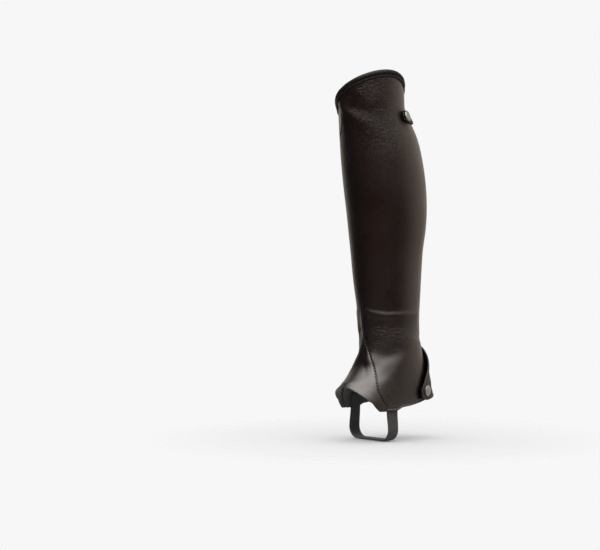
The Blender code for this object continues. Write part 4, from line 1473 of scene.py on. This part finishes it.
def stitch_row(name, paths, spacing=3.1, length=2.4, radius=THREAD_RADIUS, material=THREAD):
    """Rows of stitches. A path is turns, heights, how far from the form its face lies, and 1 for
    an outer face or -1 for an inner one."""
    frames = []
    for turn, height, out, facing in paths:
        turn, height, out = np.broadcast_arrays(*(np.asarray(values, float)
                                                  for values in (turn, height, out)))
        frames += [(place, (along, across, up)) for place, along, across, up in path_frames(
            leg_point(turn, height, out), leg_normal(turn, height) * facing, spacing)]
    finish_piece(copies(name, stitch_shape(length, radius), frames, material), "leather")


print("a stitch is a bead", 2 * THREAD_RADIUS, "mm thick")

# %% [markdown]
# One row of coarse matt thread goes down both sides of the gusset. Finer rows hold the zip's tapes
# and the turned hem, and short ones tack the ends of the strap.

# %% Row on the gusset
last_turn = SEAM_TURN - 0.9
half_turns = np.linspace(1.5, last_turn, 160)
head = seam_line(half_turns)
seam_height = head - SEAM_SEWN * edge_slope(seam_line, half_turns, head)
upright = np.linspace(seam_height[-1], -304, 12)[1:]          # the short end beside the hem
seam_height = np.append(seam_height, upright)
half_turns = np.append(half_turns, np.full(len(upright), last_turn))
stitch_row("gusset_stitches", [
    (np.concatenate([-half_turns[::-1], half_turns]),
     np.concatenate([seam_height[::-1], seam_height]), GUSSET_OUT + GUSSET_LEATHER - 0.2, 1)],
    spacing=4.4, length=3.1, radius=0.8, material=MATT_THREAD)

# %% Rows on the panel
FACE = LEATHER - 0.1             # the bottom of the groove
TACK_TURN = 72.8                 # where the strap's ends are tacked
zip_heights = np.linspace(ZIP_FOOT + 4, ZIP_TOP, 400)
hem_turn = np.linspace(SEAM_TURN + 3, 180 - 12, 160)
panel_rows, tack_rows = [], []
for sign in (1, -1):
    panel_rows.append((sign * back_turn(zip_heights, SLIT + SEWN), zip_heights, FACE, 1))
    panel_rows.append((sign * hem_turn, hem_line(hem_turn) + SEWN, FACE, 1))
    tack_rows.append((sign * TACK_TURN, np.linspace(-304.0, -293.0, 20), FACE, 1))
stitch_row("panel_stitches", panel_rows)
stitch_row("strap_stitches", tack_rows, spacing=2.2, length=1.8)

# %% [markdown]
# On the tabs the row follows the outline at a fixed distance inside it. The outline's points are
# moved inwards in space, across their own direction, and then turned back into turns and heights.

# %% Rows on the tabs
def leg_turn(points):
    """The turn of points that lie on the form's inner face."""
    height = points[..., 2]
    side = points[..., 0] / ring_value(height, HALF_WIDTH)
    along = ring_value(height, LEAN) - points[..., 1]
    reach = np.where(along > 0, ring_value(height, FRONT), ring_value(height, BACK))
    power = np.where(along > 0, 1.0, ring_value(height, SQUARE) / 2)
    ahead = np.copysign(np.abs(along / reach) ** power, along)
    return np.degrees(np.arctan2(side, ahead)) % 360


def inset_path(outline, inset):
    """A closed outline of turns, heights and face heights, moved inwards on the leather."""
    points = bare_leg(outline[:, 0], outline[:, 1])
    closed = np.concatenate([points, points[:1]])
    length = np.append(0, np.cumsum(np.linalg.norm(np.diff(closed, axis=0), axis=-1)))
    even = np.linspace(0, length[-1], round(length[-1]), endpoint=False)
    points = np.stack([np.interp(even, length, closed[:, axis]) for axis in range(3)], axis=-1)
    face = np.interp(even, length, np.append(outline[:, 2], outline[0, 2]))
    ahead = np.roll(points, -2, axis=0) - np.roll(points, 2, axis=0)
    inwards = np.cross(leg_normal(leg_turn(points), points[:, 2]), ahead)
    moved = points + inwards / np.linalg.norm(inwards, axis=-1, keepdims=True) * inset
    for _ in range(3):                   # rounds the corners
        moved = (np.roll(moved, 1, axis=0) + 2 * moved + np.roll(moved, -1, axis=0)) / 4
    return leg_turn(moved), moved[:, 2], face - 0.25, 1


stitch_row("top_tab_stitches", [inset_path(top_outline, TAB_SEWN)], spacing=2.9, length=2.2)
stitch_row("heel_flap_stitches", [inset_path(heel_outline, TAB_SEWN)])

# %% Row inside the binding
BINDING_SEWN = 5.2               # mm below the edge
inner_turn = np.linspace(-binding_end + 3, binding_end - 3, 500)
inner_top = top_edge(inner_turn)
stitch_row("binding_stitches", [
    (inner_turn, inner_top - BINDING_SEWN * edge_slope(top_edge, inner_turn, inner_top),
     -1.8, -1)])

# %% [markdown]
# ## Floor
# The floor is a pale disc. It grows transparent towards its rim, over a background of its own tone,
# so that it has no edge and no horizon shows.

# %% Floor
FLOOR, FLOOR_RADIUS, FADE_FROM = -0.3475, 360.0, 0.4      # m, mm and m
PALE = 0.93
floor = start_shape("floor", "circle", vertices=96, radius=FLOOR_RADIUS, fill_type="NGON")
floor.data.transform(Matrix.Translation((0, 0, FLOOR)))
floor_paint, tree, shader = new_material("pale_floor", Base_Color=(PALE, PALE, PALE, 1),
                                         Roughness=1.0, Specular_IOR_Level=0.0)
where = add_node(tree, "TexCoord").outputs["Object"]
from_middle = add_node(tree, "VectorMath", {0: where}, operation="LENGTH").outputs["Value"]
fade = add_node(tree, "MapRange", {
    "Value": from_middle, "From Min": FADE_FROM,
    "From Max": math.hypot(FLOOR_RADIUS * MM, FLOOR), "To Min": 1.0, "To Max": 0.0},
    interpolation_type="SMOOTHSTEP").outputs[0]
set_inputs(tree, shader, {"Alpha": fade})
floor.data.materials.append(floor_paint)
print("floor at", FLOOR)

# %% [markdown]
# ## Light
# Dark glossy leather shows its shape by what it reflects, so the studio is drawn as the leather
# sees it, as a few soft fields of light: a strong one overhead, a broad warm one at the back of the
# outer side, a bright one behind the chap that edges both outlines, and a faint reddish one from
# the front. Each grows as the view turns towards its middle. Matt surfaces are lit evenly by all of
# the sky, and the camera sees the floor's tone there.

# %% Fields of light
def direction(turn, elevation=0.0):
    turn, elevation = math.radians(turn), math.radians(elevation)
    return (math.sin(turn) * math.cos(elevation), -math.cos(turn) * math.cos(elevation),
            math.sin(elevation))


# colour, middle, the cosines of the angles where it starts and is full, strength, rest elsewhere
LIGHTS = [("fffbf7", direction(CAMERA_TURN, 70), 0.46, 1.0, 9.8, 0.0),
          ("feeada", direction(152, 22), 0.5, 1.0, 1.26, 0.0),
          ("fff2e6", -TOWARD, 0.6, 0.9, 0.7, 0.0),
          ("ff9a80", TOWARD, 0.3, 0.62, 0.175, 0.004)]
print(len(LIGHTS), "fields of light")

# %% Studio
world = bpy.data.worlds.new("studio")
bpy.context.scene.world = world
world.use_nodes = True
tree = world.node_tree
plain = tree.nodes["Background"]
way = add_node(tree, "TexCoord").outputs["Generated"]
studio = None
for colour, towards, start, full, strength, rest in LIGHTS:
    facing = add_node(tree, "VectorMath", {0: way, 1: tuple(towards)}, operation="DOT_PRODUCT")
    glow = add_node(tree, "MapRange", {
        "Value": facing.outputs["Value"], "From Min": start, "From Max": full, "To Min": rest,
        "To Max": strength}, interpolation_type="SMOOTHSTEP").outputs[0]
    light = add_node(tree, "Background", {"Color": linear(colour), "Strength": glow}).outputs[0]
    if studio is not None:
        light = add_node(tree, "AddShader", {0: studio, 1: light}).outputs[0]
    studio = light
ray = add_node(tree, "LightPath")
seen = add_node(tree, "MapRange", {"Value": ray.outputs["Is Camera Ray"], "To Min": 1.0,
                                   "To Max": PALE}).outputs[0]
set_inputs(tree, plain, {"Color": (1, 1, 1, 1), "Strength": seen})
chosen = add_node(tree, "MixShader", {0: ray.outputs["Is Glossy Ray"], 1: plain.outputs[0],
                                      2: studio}).outputs[0]
set_inputs(tree, tree.nodes["World Output"], {"Surface": chosen})
bpy.context.scene.view_settings.view_transform = "Standard"
print("studio with", len(tree.nodes), "nodes")
